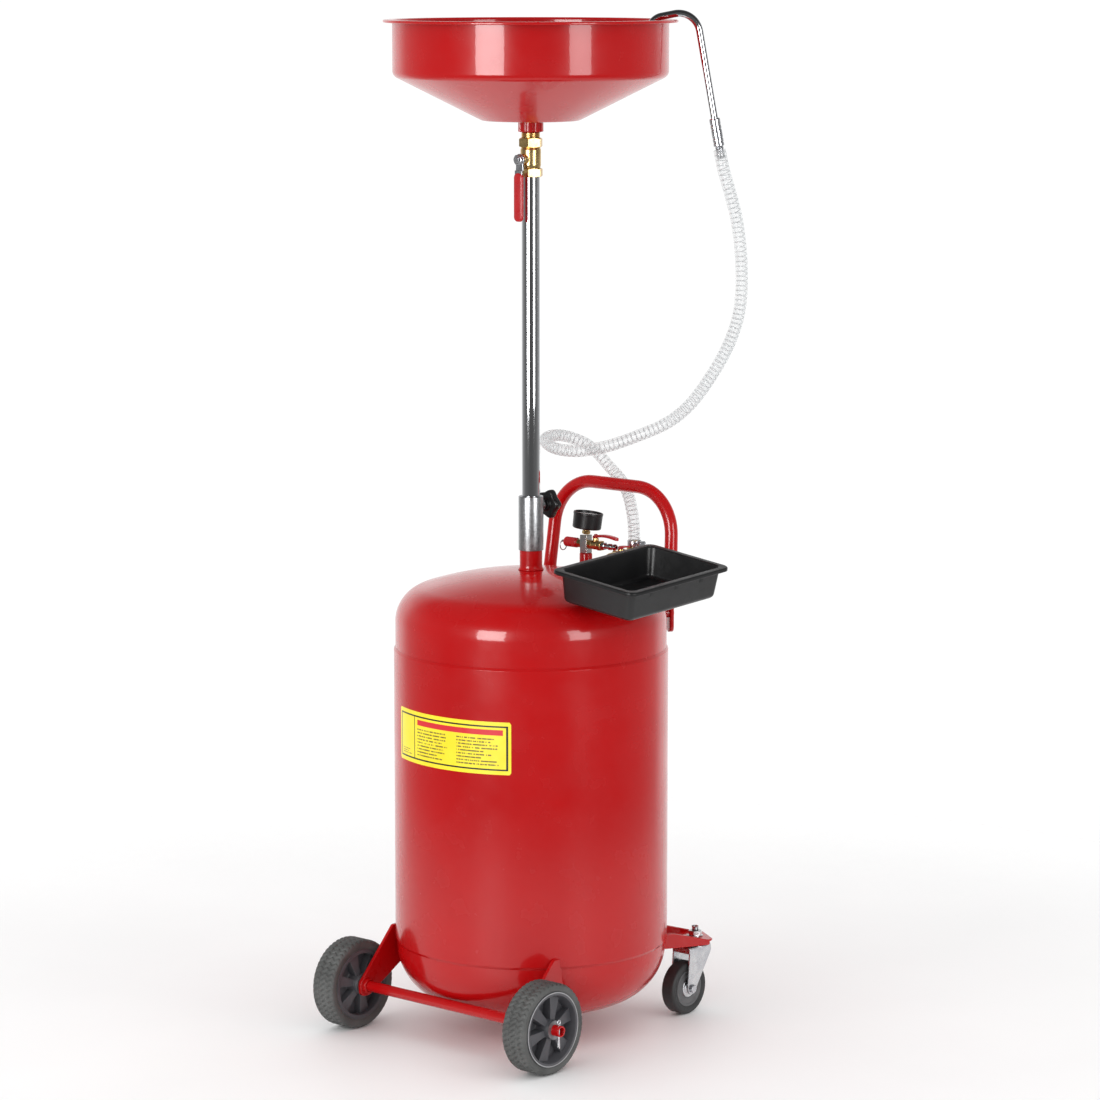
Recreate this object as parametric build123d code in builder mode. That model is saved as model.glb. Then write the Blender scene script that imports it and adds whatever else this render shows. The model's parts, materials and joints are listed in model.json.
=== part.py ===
from build123d import *
import math
import os

# Portable waste-oil drain tank with a height-adjustable drain pan.
# Millimetres. Origin on the floor under the tank's axis, +Z up.
# +X lies along the rear axle and +Y points from the axle towards the casters and the push handle.

# ---- driving dimensions -------------------------------------------------------------------------
# tank
tank_radius = 190.0
shell_wall = 2.0
bottom_seam_z = 128.0
top_seam_z = 535.5
top_knuckle = 50.0
top_crown_z = 645.0
bottom_knuckle = 78.0
bottom_crown_z = 36.0
head_lap = 12.0
head_flat = 38.0
seam_bead = 3.5

# mast
mast_radius = 12.7
mast_wall = 1.5
mast_low_z = 560.0
socket_radius = 15.75
socket_low_z = 600.0
collar_radius = 17.25
collar_low_z = 672.0
collar_top_z = 747.0
clamp_z = 731.0
stud_radius = 4.0
knob_radius = 22.0
knob_thick = 18.0

# drain pan and drain valve
pan_radius = 187.5
pan_rim_radius = 200.0
pan_rim_z = 1397.0
pan_wall_height = 75.0
pan_floor_radius = 66.0
pan_floor_z = 1261.0
pan_sheet = 1.6
rim_bead = 2.0
drain_radius = 17.3
drain_body_low_z = 1246.0
nipple_radius = 13.0
valve_low_z = 1185.0
valve_top_z = 1238.0
valve_stem_z = 1209.0
valve_radius = 14.0
valve_bore = 8.0
ball_radius = 10.5
lever_length = 84.0
lever_width = 15.5

# wand and hose
wand_radius = 5.0
ferrule_radius = 7.5
ferrule_length = 36.0
hose_radius = 8.75
hose_bore = 6.25

# rear axle and wheels
wheel_radius = 62.5
wheel_width = 38.0
wheel_x = 177.0
axle_y = -177.0
axle_radius = 7.5
axle_half = 211.0
bracket_x = 150.0
bracket_plate = 5.0

# casters
caster_x = 128.0
caster_y = 206.0
caster_wheel_radius = 37.5
caster_wheel_width = 22.0
caster_trail = 25.0
caster_floor_z = 104.0
caster_plate = 3.0
caster_bracket_width = 66.0
caster_stem_radius = 5.0
fork_sheet = 2.5

# push handle
handle_radius = 9.25
handle_top_z = 745.0
handle_half = 104.0
handle_y = 179.0
handle_foot_x = 114.0
handle_foot_y = 164.0
handle_foot_z = 585.0
handle_bend = 66.0

# tool tray
tray_length = 208.0
tray_width = 144.0
tray_depth = 45.0
tray_wall = 2.5
tray_centre = (203.0, -5.0)
tray_rim_z = 668.0
tray_tilt = 7.4
tray_lean = 3.4

# air manifold on the crown of the tank
manifold_y = 116.0
manifold_low_z = 654.0
manifold_height = 26.0
manifold_side = 12.5
gauge_radius = 21.0
gauge_height = 23.0
gauge_lean = 6.5

# oil outlet behind the manifold
outlet_x = 13.0
outlet_y = 152.0
outlet_z = 640.0
outlet_hose_y = 206.0
outlet_radius = 11.0

# fits
running_fit = 0.05
sliding_fit = 0.3
press_fit = 0.05
plate_fit = 0.15
body_gap = 0.5


# ---- helpers ------------------------------------------------------------------------------------
def facing(origin, direction, x_dir=None):
    """A plane at a point whose normal is the given direction."""
    return Plane(origin=origin, x_dir=x_dir, z_dir=direction)


def rod(radius, plane, length, bore=0.0, mode=Mode.ADD):
    """A round bar or tube that starts on a plane and runs along its normal."""
    with BuildSketch(plane) as section:
        Circle(radius)
        if bore:
            Circle(bore, mode=Mode.SUBTRACT)
    extrude(section.sketch, amount=length, mode=mode)


def hexagon(across_flats, plane, length, mode=Mode.ADD):
    """A hexagonal bar that starts on a plane and runs along its normal."""
    with BuildSketch(plane) as section:
        RegularPolygon(across_flats / 2, 6, major_radius=False)
    extrude(section.sketch, amount=length, mode=mode)


def turned(outline, plane=Plane.XZ, angle=360.0, mode=Mode.ADD):
    """A closed outline of (radius, height) points turned about the plane's own upright axis."""
    with BuildSketch(plane) as section:
        with BuildLine():
            Polyline(*outline, close=True)
        make_face()
    turning_axis = Axis(plane.origin, plane.y_dir)
    revolve(section.sketch, axis=turning_axis, revolution_arc=angle, mode=mode)


def ball(radius, centre, mode=Mode.ADD):
    """A sphere at a point."""
    with Locations(centre):
        Sphere(radius, mode=mode)


def upright(x, y, z):
    """A horizontal plane at a point, facing up."""
    return Plane(origin=(x, y, z), z_dir=(0, 0, 1))


def save(piece, name):
    """Label a finished piece and write it as one STEP file."""
    piece.part.label = name
    export_step(piece.part, f"parts/{name}.step")


os.makedirs("parts", exist_ok=True)

# ---- tank ---------------------------------------------------------------------------------------
head_radius = tank_radius - shell_wall - plate_fit
top_knuckle_z = top_seam_z + head_flat
bottom_knuckle_z = bottom_seam_z - head_flat / 4


def dish(radius, knuckle, knuckle_z, crown_z):
    """Centre and radius of a crown tangent to the knuckle, and the angle where the two meet."""
    side = math.copysign(1.0, crown_z - knuckle_z)
    centre_r = radius - knuckle
    rise = abs(crown_z - knuckle_z) - knuckle
    drop = (centre_r**2 - rise**2) / (2 * rise)
    crown_radius = abs(crown_z - knuckle_z) + drop
    meeting = math.degrees(math.atan2(drop, centre_r))
    return side, centre_r, knuckle_z - side * drop, crown_radius, meeting


def dish_curves(radius, knuckle, knuckle_z, crown_z, inset):
    """Knuckle arc and crown arc of a dished head, at a depth into its metal."""
    side, centre_r, centre_z, crown_radius, meeting = dish(radius, knuckle, knuckle_z, crown_z)
    CenterArc((centre_r, knuckle_z), knuckle - inset, 0, side * meeting)
    CenterArc((0, centre_z), crown_radius - inset, side * meeting, side * (90 - meeting))


def crown_height(r, radius, knuckle, knuckle_z, crown_z):
    """Height of the outside of a dished head at a distance from the tank's axis."""
    side, centre_r, centre_z, crown_radius, meeting = dish(radius, knuckle, knuckle_z, crown_z)
    if r > centre_r + knuckle * math.cos(math.radians(meeting)):
        return knuckle_z + side * math.sqrt(knuckle**2 - (r - centre_r) ** 2)
    return centre_z + side * math.sqrt(crown_radius**2 - r**2)


def top_height(x, y):
    """Height of the tank's top at a place seen from above."""
    return crown_height(math.hypot(x, y), head_radius, top_knuckle, top_knuckle_z, top_crown_z)


def head_section(knuckle, knuckle_z, crown_z, lap_z):
    """Half section of one pressed head, from its lap inside the shell to the tank's axis."""
    side = math.copysign(1.0, crown_z - knuckle_z)
    with BuildSketch(Plane.XZ) as section:
        with BuildLine():
            Line((head_radius, lap_z), (head_radius, knuckle_z))
            dish_curves(head_radius, knuckle, knuckle_z, crown_z, 0)
            Line((0, crown_z), (0, crown_z - side * shell_wall))
            dish_curves(head_radius, knuckle, knuckle_z, crown_z, shell_wall)
            Line((head_radius - shell_wall, knuckle_z), (head_radius - shell_wall, lap_z))
            Line((head_radius - shell_wall, lap_z), (head_radius, lap_z))
        make_face()
    return section.sketch


# The envelope of the whole tank, a little outside the metal, trims what is welded to it.
with BuildPart() as tank_envelope:
    trim_radius = tank_radius + plate_fit
    with BuildSketch(Plane.XZ) as envelope_section:
        with BuildLine():
            Line((0, bottom_crown_z), (0, top_crown_z))
            dish_curves(head_radius, top_knuckle, top_knuckle_z, top_crown_z, 0)
            Line((head_radius, top_knuckle_z), (head_radius, top_seam_z + seam_bead))
            Line((head_radius, top_seam_z + seam_bead), (trim_radius, top_seam_z + seam_bead))
            Line((trim_radius, top_seam_z + seam_bead), (trim_radius, bottom_seam_z - seam_bead))
            Line((trim_radius, bottom_seam_z - seam_bead), (head_radius, bottom_seam_z - seam_bead))
            Line((head_radius, bottom_seam_z - seam_bead), (head_radius, bottom_knuckle_z))
            dish_curves(head_radius, bottom_knuckle, bottom_knuckle_z, bottom_crown_z, 0)
        make_face()
    revolve(axis=Axis.Z)

with BuildPart() as tank_shell:
    inner = tank_radius - shell_wall
    lip = head_radius + plate_fit
    turned(
        [
            (lip, bottom_seam_z - seam_bead),
            (tank_radius - 0.5, bottom_seam_z),
            (tank_radius, bottom_seam_z + 0.5),
            (tank_radius, top_seam_z - 0.5),
            (tank_radius - 0.5, top_seam_z),
            (lip, top_seam_z + seam_bead),
            (inner, top_seam_z),
            (inner, bottom_seam_z),
        ]
    )
save(tank_shell, "tank_shell")

manifold_socket_radius = 9.0
outlet_socket_radius = 13.0
with BuildPart() as tank_top_head:
    revolve(
        head_section(top_knuckle, top_knuckle_z, top_crown_z, top_seam_z - head_lap), axis=Axis.Z
    )
    deep = top_crown_z - top_knuckle_z + 2 * top_knuckle
    rod(socket_radius + plate_fit, upright(0, 0, top_knuckle_z), deep, mode=Mode.SUBTRACT)
    rod(
        manifold_socket_radius + plate_fit,
        upright(0, manifold_y, top_knuckle_z),
        deep,
        mode=Mode.SUBTRACT,
    )
    rod(
        outlet_socket_radius + plate_fit,
        upright(outlet_x, outlet_y, top_knuckle_z),
        deep,
        mode=Mode.SUBTRACT,
    )
save(tank_top_head, "tank_top_head")

with BuildPart() as tank_bottom_head:
    revolve(
        head_section(bottom_knuckle, bottom_knuckle_z, bottom_crown_z, bottom_seam_z + head_lap),
        axis=Axis.Z,
    )
save(tank_bottom_head, "tank_bottom_head")

# A printed sticker bent round the shell, its face plain.
label_low_z = 394.0
label_height = 72.0
label_start = -118.0
label_sweep = 61.5
label_thick = 0.25
with BuildPart() as label:
    label_plane = Plane.XZ.rotated((0, 0, label_start))
    label_inner = tank_radius + 0.02
    turned(
        [
            (label_inner, label_low_z),
            (label_inner + label_thick, label_low_z),
            (label_inner + label_thick, label_low_z + label_height),
            (label_inner, label_low_z + label_height),
        ],
        plane=label_plane,
        angle=label_sweep,
    )
save(label, "label")

# ---- mast ---------------------------------------------------------------------------------------
guide_bore = mast_radius + sliding_fit
socket_top_z = (collar_low_z + clamp_z) / 2
weld_ring_radius = socket_radius + 2.5
with BuildPart() as mast_socket:
    weld_z = top_height(0, 0)
    turned(
        [
            (guide_bore, socket_low_z),
            (socket_radius, socket_low_z),
            (socket_radius, weld_z + 0.2),
            (weld_ring_radius, weld_z + 0.2),
            (socket_radius + 0.6, weld_z + 3.0),
            (socket_radius, weld_z + 3.6),
            (socket_radius, socket_top_z),
            (guide_bore, socket_top_z),
        ]
    )
save(mast_socket, "mast_socket")

collar_bore = socket_radius + press_fit
nut_boss_reach = 24.0
with BuildPart() as mast_collar:
    turned(
        [
            (collar_bore, collar_low_z),
            (collar_radius, collar_low_z),
            (collar_radius, collar_top_z),
            (guide_bore, collar_top_z),
            (guide_bore, socket_top_z + body_gap),
            (collar_bore, socket_top_z + body_gap),
        ]
    )
    boss_plane = facing((0, mast_radius + 3.0, clamp_z), (0, 1, 0))
    hexagon(13.0, boss_plane, nut_boss_reach - mast_radius - 3.0)
    rod(
        stud_radius + running_fit,
        facing((0, 0, clamp_z), (0, 1, 0)),
        nut_boss_reach + 1,
        mode=Mode.SUBTRACT,
    )
save(mast_collar, "mast_collar")

# The clamp stud screws through the boss and bears on the mast; the lobed knob is moulded on it.
knob_start = nut_boss_reach + 1.5
stud_end = mast_radius + body_gap
with BuildPart() as clamp_stud:
    stud_plane = facing((0, stud_end, clamp_z), (0, 1, 0))
    rod(stud_radius, stud_plane, knob_start + knob_thick - 4 - stud_end)
save(clamp_stud, "clamp_stud")

knob_lobes = 5
with BuildPart() as clamp_knob:
    knob_plane = facing((0, knob_start, clamp_z), (0, 1, 0))
    with BuildSketch(knob_plane.offset(5)):
        Circle(knob_radius - 6)
        with PolarLocations(knob_radius - 7, knob_lobes):
            Circle(7)
    extrude(amount=knob_thick - 5)
    rod(9.0, knob_plane, 5.5)
    fillet(clamp_knob.faces().sort_by(Axis.Y)[-1].edges(), radius=2.0)
    rod(stud_radius, knob_plane, knob_thick - 4, mode=Mode.SUBTRACT)
save(clamp_knob, "clamp_knob")

valve_seat_z = valve_low_z + 12.0
with BuildPart() as mast_tube:
    rod(mast_radius, upright(0, 0, mast_low_z), valve_seat_z - mast_low_z, mast_radius - mast_wall)
save(mast_tube, "mast_tube")

# ---- drain pan ----------------------------------------------------------------------------------
pan_corner_z = pan_rim_z - pan_wall_height
cone_tan = (pan_corner_z - pan_floor_z) / (pan_radius - pan_floor_radius)
cone_rise = pan_sheet * math.sqrt(1 + cone_tan**2)
pan_inner = pan_radius - pan_sheet
rim_line = pan_rim_radius - rim_bead
spigot_radius = 13.0
pan_hole = spigot_radius + plate_fit
with BuildPart() as drain_pan:
    with BuildSketch(Plane.XZ):
        with BuildLine():
            FilletPolyline(
                (pan_hole, pan_floor_z),
                (pan_floor_radius, pan_floor_z),
                (pan_radius, pan_corner_z),
                (pan_radius, pan_rim_z - pan_sheet),
                (rim_line, pan_rim_z - pan_sheet),
                radius=[14.0, 11.0, 2.4],
            )
            Line((rim_line, pan_rim_z - pan_sheet), (rim_line, pan_rim_z))
            FilletPolyline(
                (rim_line, pan_rim_z),
                (pan_inner, pan_rim_z),
                (pan_inner, pan_corner_z - pan_sheet * cone_tan + cone_rise),
                (pan_floor_radius, pan_floor_z + cone_rise),
                (pan_floor_radius - cone_rise / 2, pan_floor_z + pan_sheet),
                (pan_hole, pan_floor_z + pan_sheet),
                radius=[4.0, 9.4, 4.0, 2.0],
            )
            Line((pan_hole, pan_floor_z + pan_sheet), (pan_hole, pan_floor_z))
        make_face()
    revolve(axis=Axis.Z)
    with BuildSketch(Plane.XZ):
        with Locations((rim_line, pan_rim_z - rim_bead + 0.2)):
            Circle(rim_bead)
    revolve(axis=Axis.Z)
save(drain_pan, "drain_pan")

# The drain socket clamps the pan floor between a flange above and a fluted nut body below.
drain_flange = 21.7
drain_flutes = 10
nipple_bore_radius = 11.0
with BuildPart() as drain_socket:
    turned(
        [
            (valve_bore, drain_body_low_z + 10),
            (nipple_bore_radius + press_fit, drain_body_low_z + 10),
            (nipple_bore_radius + press_fit, drain_body_low_z),
            (drain_radius, drain_body_low_z),
            (drain_radius, pan_floor_z - 1.4),
            (drain_flange, pan_floor_z - 1.2),
            (drain_flange, pan_floor_z),
            (spigot_radius, pan_floor_z),
            (spigot_radius, pan_floor_z + pan_sheet),
            (drain_flange, pan_floor_z + pan_sheet),
            (drain_flange - 1, pan_floor_z + pan_sheet + 2.5),
            (valve_bore, pan_floor_z + pan_sheet + 1.5),
        ]
    )
    with PolarLocations(drain_radius + 0.8, drain_flutes):
        with Locations((0, 0, drain_body_low_z + 5.5)):
            Cylinder(1.8, 11.0, mode=Mode.SUBTRACT)
save(drain_socket, "drain_socket")

# A perforated strainer lies over the drain flange inside the pan.
strainer_radius = 45.0
strainer_z = pan_floor_z + pan_sheet + 3.0
with BuildPart() as pan_strainer:
    rod(strainer_radius, upright(0, 0, strainer_z), 1.2)
    rod(3.0, upright(0, 0, strainer_z + 1.2), 10.0)
    ball(6.0, (0, 0, strainer_z + 15.0))
    for ring_radius, ring_holes in ((13.0, 8), (22.0, 14), (31.0, 20), (39.0, 26)):
        with PolarLocations(ring_radius, ring_holes):
            with Locations((0, 0, strainer_z + 0.6)):
                Cylinder(2.2, 2.0, mode=Mode.SUBTRACT)
    turned(
        [
            (strainer_radius - 1.5, strainer_z - 2.6),
            (strainer_radius, strainer_z - 2.6),
            (strainer_radius, strainer_z + 1.2),
            (strainer_radius - 1.5, strainer_z + 1.2),
        ]
    )
save(pan_strainer, "pan_strainer")

nipple_inset = 8.0
with BuildPart() as drain_nipple:
    spigot_low_z = valve_top_z - nipple_inset
    spigot_high_z = drain_body_low_z + nipple_inset
    turned(
        [
            (valve_bore, spigot_low_z),
            (nipple_bore_radius, spigot_low_z),
            (nipple_bore_radius, valve_top_z),
            (nipple_radius, valve_top_z),
            (nipple_radius, drain_body_low_z),
            (nipple_bore_radius, drain_body_low_z),
            (nipple_bore_radius, spigot_high_z),
            (valve_bore, spigot_high_z),
        ]
    )
save(drain_nipple, "drain_nipple")

# ---- drain valve --------------------------------------------------------------------------------
stem_radius = 4.0
stem_boss_reach = 20.0
ball_clear = ball_radius + 0.3
with BuildPart() as drain_valve_body:
    hexagon(29.0, upright(0, 0, valve_top_z - 13), 13)
    rod(valve_radius, upright(0, 0, valve_low_z), valve_top_z - 13 - valve_low_z)
    hexagon(29.5, upright(0, 0, valve_low_z), 12)
    rod(7.5, facing((0, 0, valve_stem_z), (0, -1, 0)), stem_boss_reach)
    rod(valve_bore, upright(0, 0, valve_low_z), valve_top_z - valve_low_z, mode=Mode.SUBTRACT)
    rod(mast_radius + press_fit, upright(0, 0, valve_low_z), 12, mode=Mode.SUBTRACT)
    rod(
        nipple_bore_radius + press_fit,
        upright(0, 0, valve_top_z - nipple_inset - 0.5),
        nipple_inset + 0.5,
        mode=Mode.SUBTRACT,
    )
    ball(ball_clear, (0, 0, valve_stem_z), mode=Mode.SUBTRACT)
    rod(
        stem_radius + running_fit,
        facing((0, 0, valve_stem_z), (0, -1, 0)),
        stem_boss_reach + 1,
        mode=Mode.SUBTRACT,
    )
save(drain_valve_body, "drain_valve_body")

lever_plate = 2.5
lever_y = -(stem_boss_reach + 1.0)
with BuildPart() as drain_valve_ball:
    ball(ball_radius, (0, 0, valve_stem_z))
    rod(
        valve_bore - 1.0,
        upright(0, 0, valve_stem_z - ball_radius),
        2 * ball_radius,
        mode=Mode.SUBTRACT,
    )
    stem_start = facing((0, -valve_bore - 0.5, valve_stem_z), (0, -1, 0))
    rod(stem_radius, stem_start, -lever_y + lever_plate + 5 - valve_bore)
save(drain_valve_ball, "drain_valve_ball")

grip_start = 14.0
grip_thick = 5.0
lever_face = facing((0, lever_y, valve_stem_z), (0, -1, 0), x_dir=(1, 0, 0))
grip_lift = 3.5
with BuildPart() as drain_lever:
    with BuildSketch(lever_face):
        Circle(8.0)
        with Locations((0, -grip_start)):
            Rectangle(13.0, 2 * grip_start)
        Circle(stem_radius + press_fit, mode=Mode.SUBTRACT)
    extrude(amount=lever_plate)
    with BuildSketch(lever_face.offset(grip_lift - 1.2)):
        with Locations((0, -(2 * grip_start + lever_length - 6) / 2 + 2)):
            Rectangle(10.0, lever_length - 6 - 2 * grip_start + 4)
    extrude(amount=lever_plate)
save(drain_lever, "drain_lever")

with BuildPart() as drain_lever_grip:
    grip_mid = (grip_start + 4 + lever_length) / 2
    with BuildSketch(lever_face.offset(grip_lift - 2.4)):
        with Locations((0, -grip_mid)):
            RectangleRounded(lever_width, lever_length - grip_start - 4, lever_width / 2 - 0.8)
    extrude(amount=grip_thick)
    fillet(drain_lever_grip.faces().sort_by(Axis.Y)[0].edges(), radius=1.2)
    add(drain_lever.part, mode=Mode.SUBTRACT)
save(drain_lever_grip, "drain_lever_grip")

with BuildPart() as drain_lever_nut:
    hexagon(13.0, facing((0, lever_y - lever_plate, valve_stem_z), (0, -1, 0)), 4.5)
    rod(
        stem_radius + press_fit,
        facing((0, lever_y - lever_plate, valve_stem_z), (0, -1, 0)),
        5,
        mode=Mode.SUBTRACT,
    )
save(drain_lever_nut, "drain_lever_nut")

# ---- suction wand, ferrule and hose -------------------------------------------------------------
# The wand lies in the upright plane at this angle from +X and hooks over the pan's rim.
wand_angle = math.degrees(math.atan2(0.66, 0.7513))
wand_out = Vector(1, 0, 0).rotate(Axis.Z, wand_angle)
rim_crest_z = pan_rim_z + wand_radius + body_gap


def on_wand(reach, z):
    """A point of the wand's plane, by its distance from the mast's axis and its height."""
    return Vector(wand_out.X * reach, wand_out.Y * reach, z)


wand_points = [
    on_wand(pan_rim_radius - 50, pan_rim_z - 48),
    on_wand(pan_rim_radius - 35, rim_crest_z - 3.5),
    on_wand(pan_rim_radius + 23.5, rim_crest_z + 8),
    on_wand(pan_rim_radius + 49.7, pan_rim_z - 135),
]
wand_leg = (wand_points[3] - wand_points[2]).normalized()
with BuildPart() as hose_wand:
    with BuildLine() as wand_path:
        FilletPolyline(*wand_points, radius=[20.0, 38.0])
    with BuildSketch(Plane(origin=wand_points[0], z_dir=wand_path.line % 0)):
        Circle(wand_radius)
        Circle(wand_radius - 1.0, mode=Mode.SUBTRACT)
    sweep()
save(hose_wand, "hose_wand")

ferrule_end = wand_points[3] + wand_leg * ferrule_length
barb_radius = hose_bore - 0.3
barb_length = 17.0
hose_start = ferrule_end + wand_leg * 5.0
with BuildPart() as wand_ferrule:
    rod(ferrule_radius, facing(wand_points[3] - wand_leg * 2, wand_leg), ferrule_length + 2)
    rod(barb_radius, facing(ferrule_end, wand_leg), barb_length)
    rod(
        wand_radius + press_fit,
        facing(wand_points[3] - wand_leg * 3, wand_leg),
        15 + 3,
        mode=Mode.SUBTRACT,
    )
    rod(
        wand_radius - 1.5,
        facing(wand_points[3], wand_leg),
        ferrule_length + barb_length + 1,
        mode=Mode.SUBTRACT,
    )
save(wand_ferrule, "wand_ferrule")

# The hose's route, from the ferrule round one hanging loop to the outlet barb. Chosen by hand.
outlet_hose_z = outlet_z + 14.0
hose_route = [
    (hose_start.X, hose_start.Y, hose_start.Z),
    (196.1, 172.3, 1198),
    (203, 179, 1166),
    (209, 189, 1126),
    (210, 197, 1078),
    (207, 203, 1028),
    (198, 206, 988),
    (182, 205, 950),
    (160, 201, 913),
    (127, 194, 867),
    (90, 186, 837),
    (50, 166, 818),
    (18, 149, 804),
    (-6, 133, 798),
    (-22, 122, 795),
    (-54, 113, 796),
    (-86, 125, 803),
    (-104, 153, 808),
    (-103, 187, 806),
    (-82, 213, 793),
    (-65, 220, 778),
    (-49, 223, 762),
    (-34, 223, 751),
    (-18, 220, 740),
    (-4, 215, 721),
    (8, 209, 697),
    (outlet_x, outlet_hose_y, 674),
    (outlet_x, outlet_hose_y, outlet_hose_z),
]


def bend_radii(route):
    """The largest arc that each corner's two runs allow."""
    corners = [Vector(*point) for point in route]
    radii = []
    for before, here, after in zip(corners, corners[1:], corners[2:]):
        run_in = here - before
        run_out = after - here
        half_turn = math.radians(run_in.get_angle(run_out)) / 2
        radii.append(0.45 * min(run_in.length, run_out.length) / math.tan(half_turn))
    return radii


hose_radii = bend_radii(hose_route)
print("hose bend radii:", [round(radius) for radius in hose_radii])
with BuildPart() as suction_hose:
    with BuildLine() as hose_path:
        FilletPolyline(*hose_route, radius=hose_radii)
    with BuildSketch(Plane(origin=hose_route[0], z_dir=hose_path.line % 0)):
        Circle(hose_radius)
        Circle(hose_bore, mode=Mode.SUBTRACT)
    sweep()
save(suction_hose, "suction_hose")
hose_section = math.pi * (hose_radius**2 - hose_bore**2)
hose_length = sum(edge.length for edge in hose_path.edges())
print("hose length:", round(hose_length, 1))
print("hose volume ratio:", round(suction_hose.part.volume / hose_section / hose_length, 4))

clamp_band = 1.0
clamp_width = 8.0
clamp_bore = hose_radius + 0.35
with BuildPart() as hose_clamp:
    clamp_plane = upright(outlet_x, outlet_hose_y, outlet_hose_z + 1)
    rod(clamp_bore + clamp_band, clamp_plane, clamp_width, clamp_bore)
    screw_x = outlet_x + clamp_bore + clamp_band + 2.0
    screw_plane = facing((screw_x, outlet_hose_y - 7, outlet_hose_z + 1 + clamp_width / 2), (0, 1, 0))
    rod(3.2, screw_plane, 14.0)
    rod(clamp_bore, clamp_plane, clamp_width, mode=Mode.SUBTRACT)
save(hose_clamp, "hose_clamp")

# ---- push handle --------------------------------------------------------------------------------
foot_reach = math.hypot(handle_foot_x, handle_foot_y)
tongue_length = 42.0
tongue_thick = 6.0
tongue_width = 24.0
foot_bolt_drop = 9.0
foot_bolt_radius = 4.0
foot_boss_radius = 7.0
bolt_head_radius = 6.5
bolt_head_height = 2.2
handle_tube_wall = 1.5
with BuildPart() as handle:
    for bore in (0.0, handle_tube_wall):
        with BuildLine() as handle_path:
            FilletPolyline(
                (-handle_foot_x, handle_foot_y, handle_foot_z),
                (-handle_half, handle_y, handle_top_z),
                (handle_half, handle_y, handle_top_z),
                (handle_foot_x, handle_foot_y, handle_foot_z),
                radius=handle_bend,
            )
        with BuildSketch(Plane(origin=handle_path.line @ 0, z_dir=handle_path.line % 0)):
            Circle(handle_radius - bore)
        sweep(mode=Mode.SUBTRACT if bore else Mode.ADD)
    for side in (-1, 1):
        outward = Vector(side * handle_foot_x, handle_foot_y, 0).normalized()
        tongue_plane = Plane(
            origin=(side * handle_foot_x, handle_foot_y, handle_foot_z),
            x_dir=Vector(0, 0, 1).cross(outward),
            z_dir=outward,
        )
        with BuildSketch(tongue_plane.offset(-tongue_thick / 2)):
            with Locations((0, 6 - tongue_length / 2)):
                RectangleRounded(tongue_width, tongue_length, 5.0)
            with Locations((0, -foot_bolt_drop)):
                Circle(foot_bolt_radius + 0.2, mode=Mode.SUBTRACT)
        extrude(amount=tongue_thick)
save(handle, "handle")


def foot_frame(side, reach):
    """A plane facing out of the tank at a handle foot's bolt."""
    outward = Vector(side * handle_foot_x, handle_foot_y, 0).normalized()
    return facing(outward * reach + Vector(0, 0, handle_foot_z - foot_bolt_drop), outward)


with BuildPart() as handle_bosses:
    for side in (-1, 1):
        boss_length = foot_reach - tongue_thick / 2 - tank_radius + 14
        rod(foot_boss_radius, foot_frame(side, tank_radius - 14), boss_length)
    add(tank_envelope.part, mode=Mode.SUBTRACT)
    for side in (-1, 1):
        rod(foot_bolt_radius + 0.05, foot_frame(side, tank_radius - 14), 40, mode=Mode.SUBTRACT)
save(handle_bosses, "handle_bosses")

with BuildPart() as handle_bolts:
    for side in (-1, 1):
        bolt_grip = foot_reach + tongue_thick / 2 - tank_radius
        rod(foot_bolt_radius, foot_frame(side, tank_radius + 0.5), bolt_grip)
        rod(bolt_head_radius, foot_frame(side, foot_reach + tongue_thick / 2), bolt_head_height)
save(handle_bolts, "handle_bolts")

# ---- tool tray ----------------------------------------------------------------------------------
tray_plane = Plane(origin=(*tray_centre, tray_rim_z)).rotated((tray_lean, tray_tilt, 0))
tray_flange = 8.0
tray_draft = 5.0
tray_corner = 10.0
tray_rim_corner = 12.0
tray_body_x = tray_width - 2 * tray_flange
tray_body_y = tray_length - 2 * tray_flange
with BuildPart() as tray:
    with BuildSketch(tray_plane):
        RectangleRounded(tray_body_x, tray_body_y, tray_corner)
    with BuildSketch(tray_plane.offset(-tray_depth)):
        RectangleRounded(tray_body_x - 2 * tray_draft, tray_body_y - 2 * tray_draft, tray_corner)
    loft()
    with BuildSketch(tray_plane.offset(-5)):
        RectangleRounded(tray_width, tray_length, tray_rim_corner)
    extrude(amount=5)
    hollow_x = tray_body_x - 2 * tray_wall
    hollow_y = tray_body_y - 2 * tray_wall
    with BuildSketch(tray_plane) as hollow_top:
        RectangleRounded(hollow_x, hollow_y, tray_corner - tray_wall)
    with BuildSketch(tray_plane.offset(tray_wall - tray_depth)) as hollow_floor:
        RectangleRounded(hollow_x - 2 * tray_draft, hollow_y - 2 * tray_draft, tray_corner - tray_wall)
    loft([hollow_top.sketch, hollow_floor.sketch], mode=Mode.SUBTRACT)
    with BuildSketch(tray_plane.offset(-tray_depth)) as screw_holes:
        with GridLocations(0, tray_length / 2, 1, 2):
            Circle(2.7)
    extrude(screw_holes.sketch, amount=tray_wall, mode=Mode.SUBTRACT)
save(tray, "tray")

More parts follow.
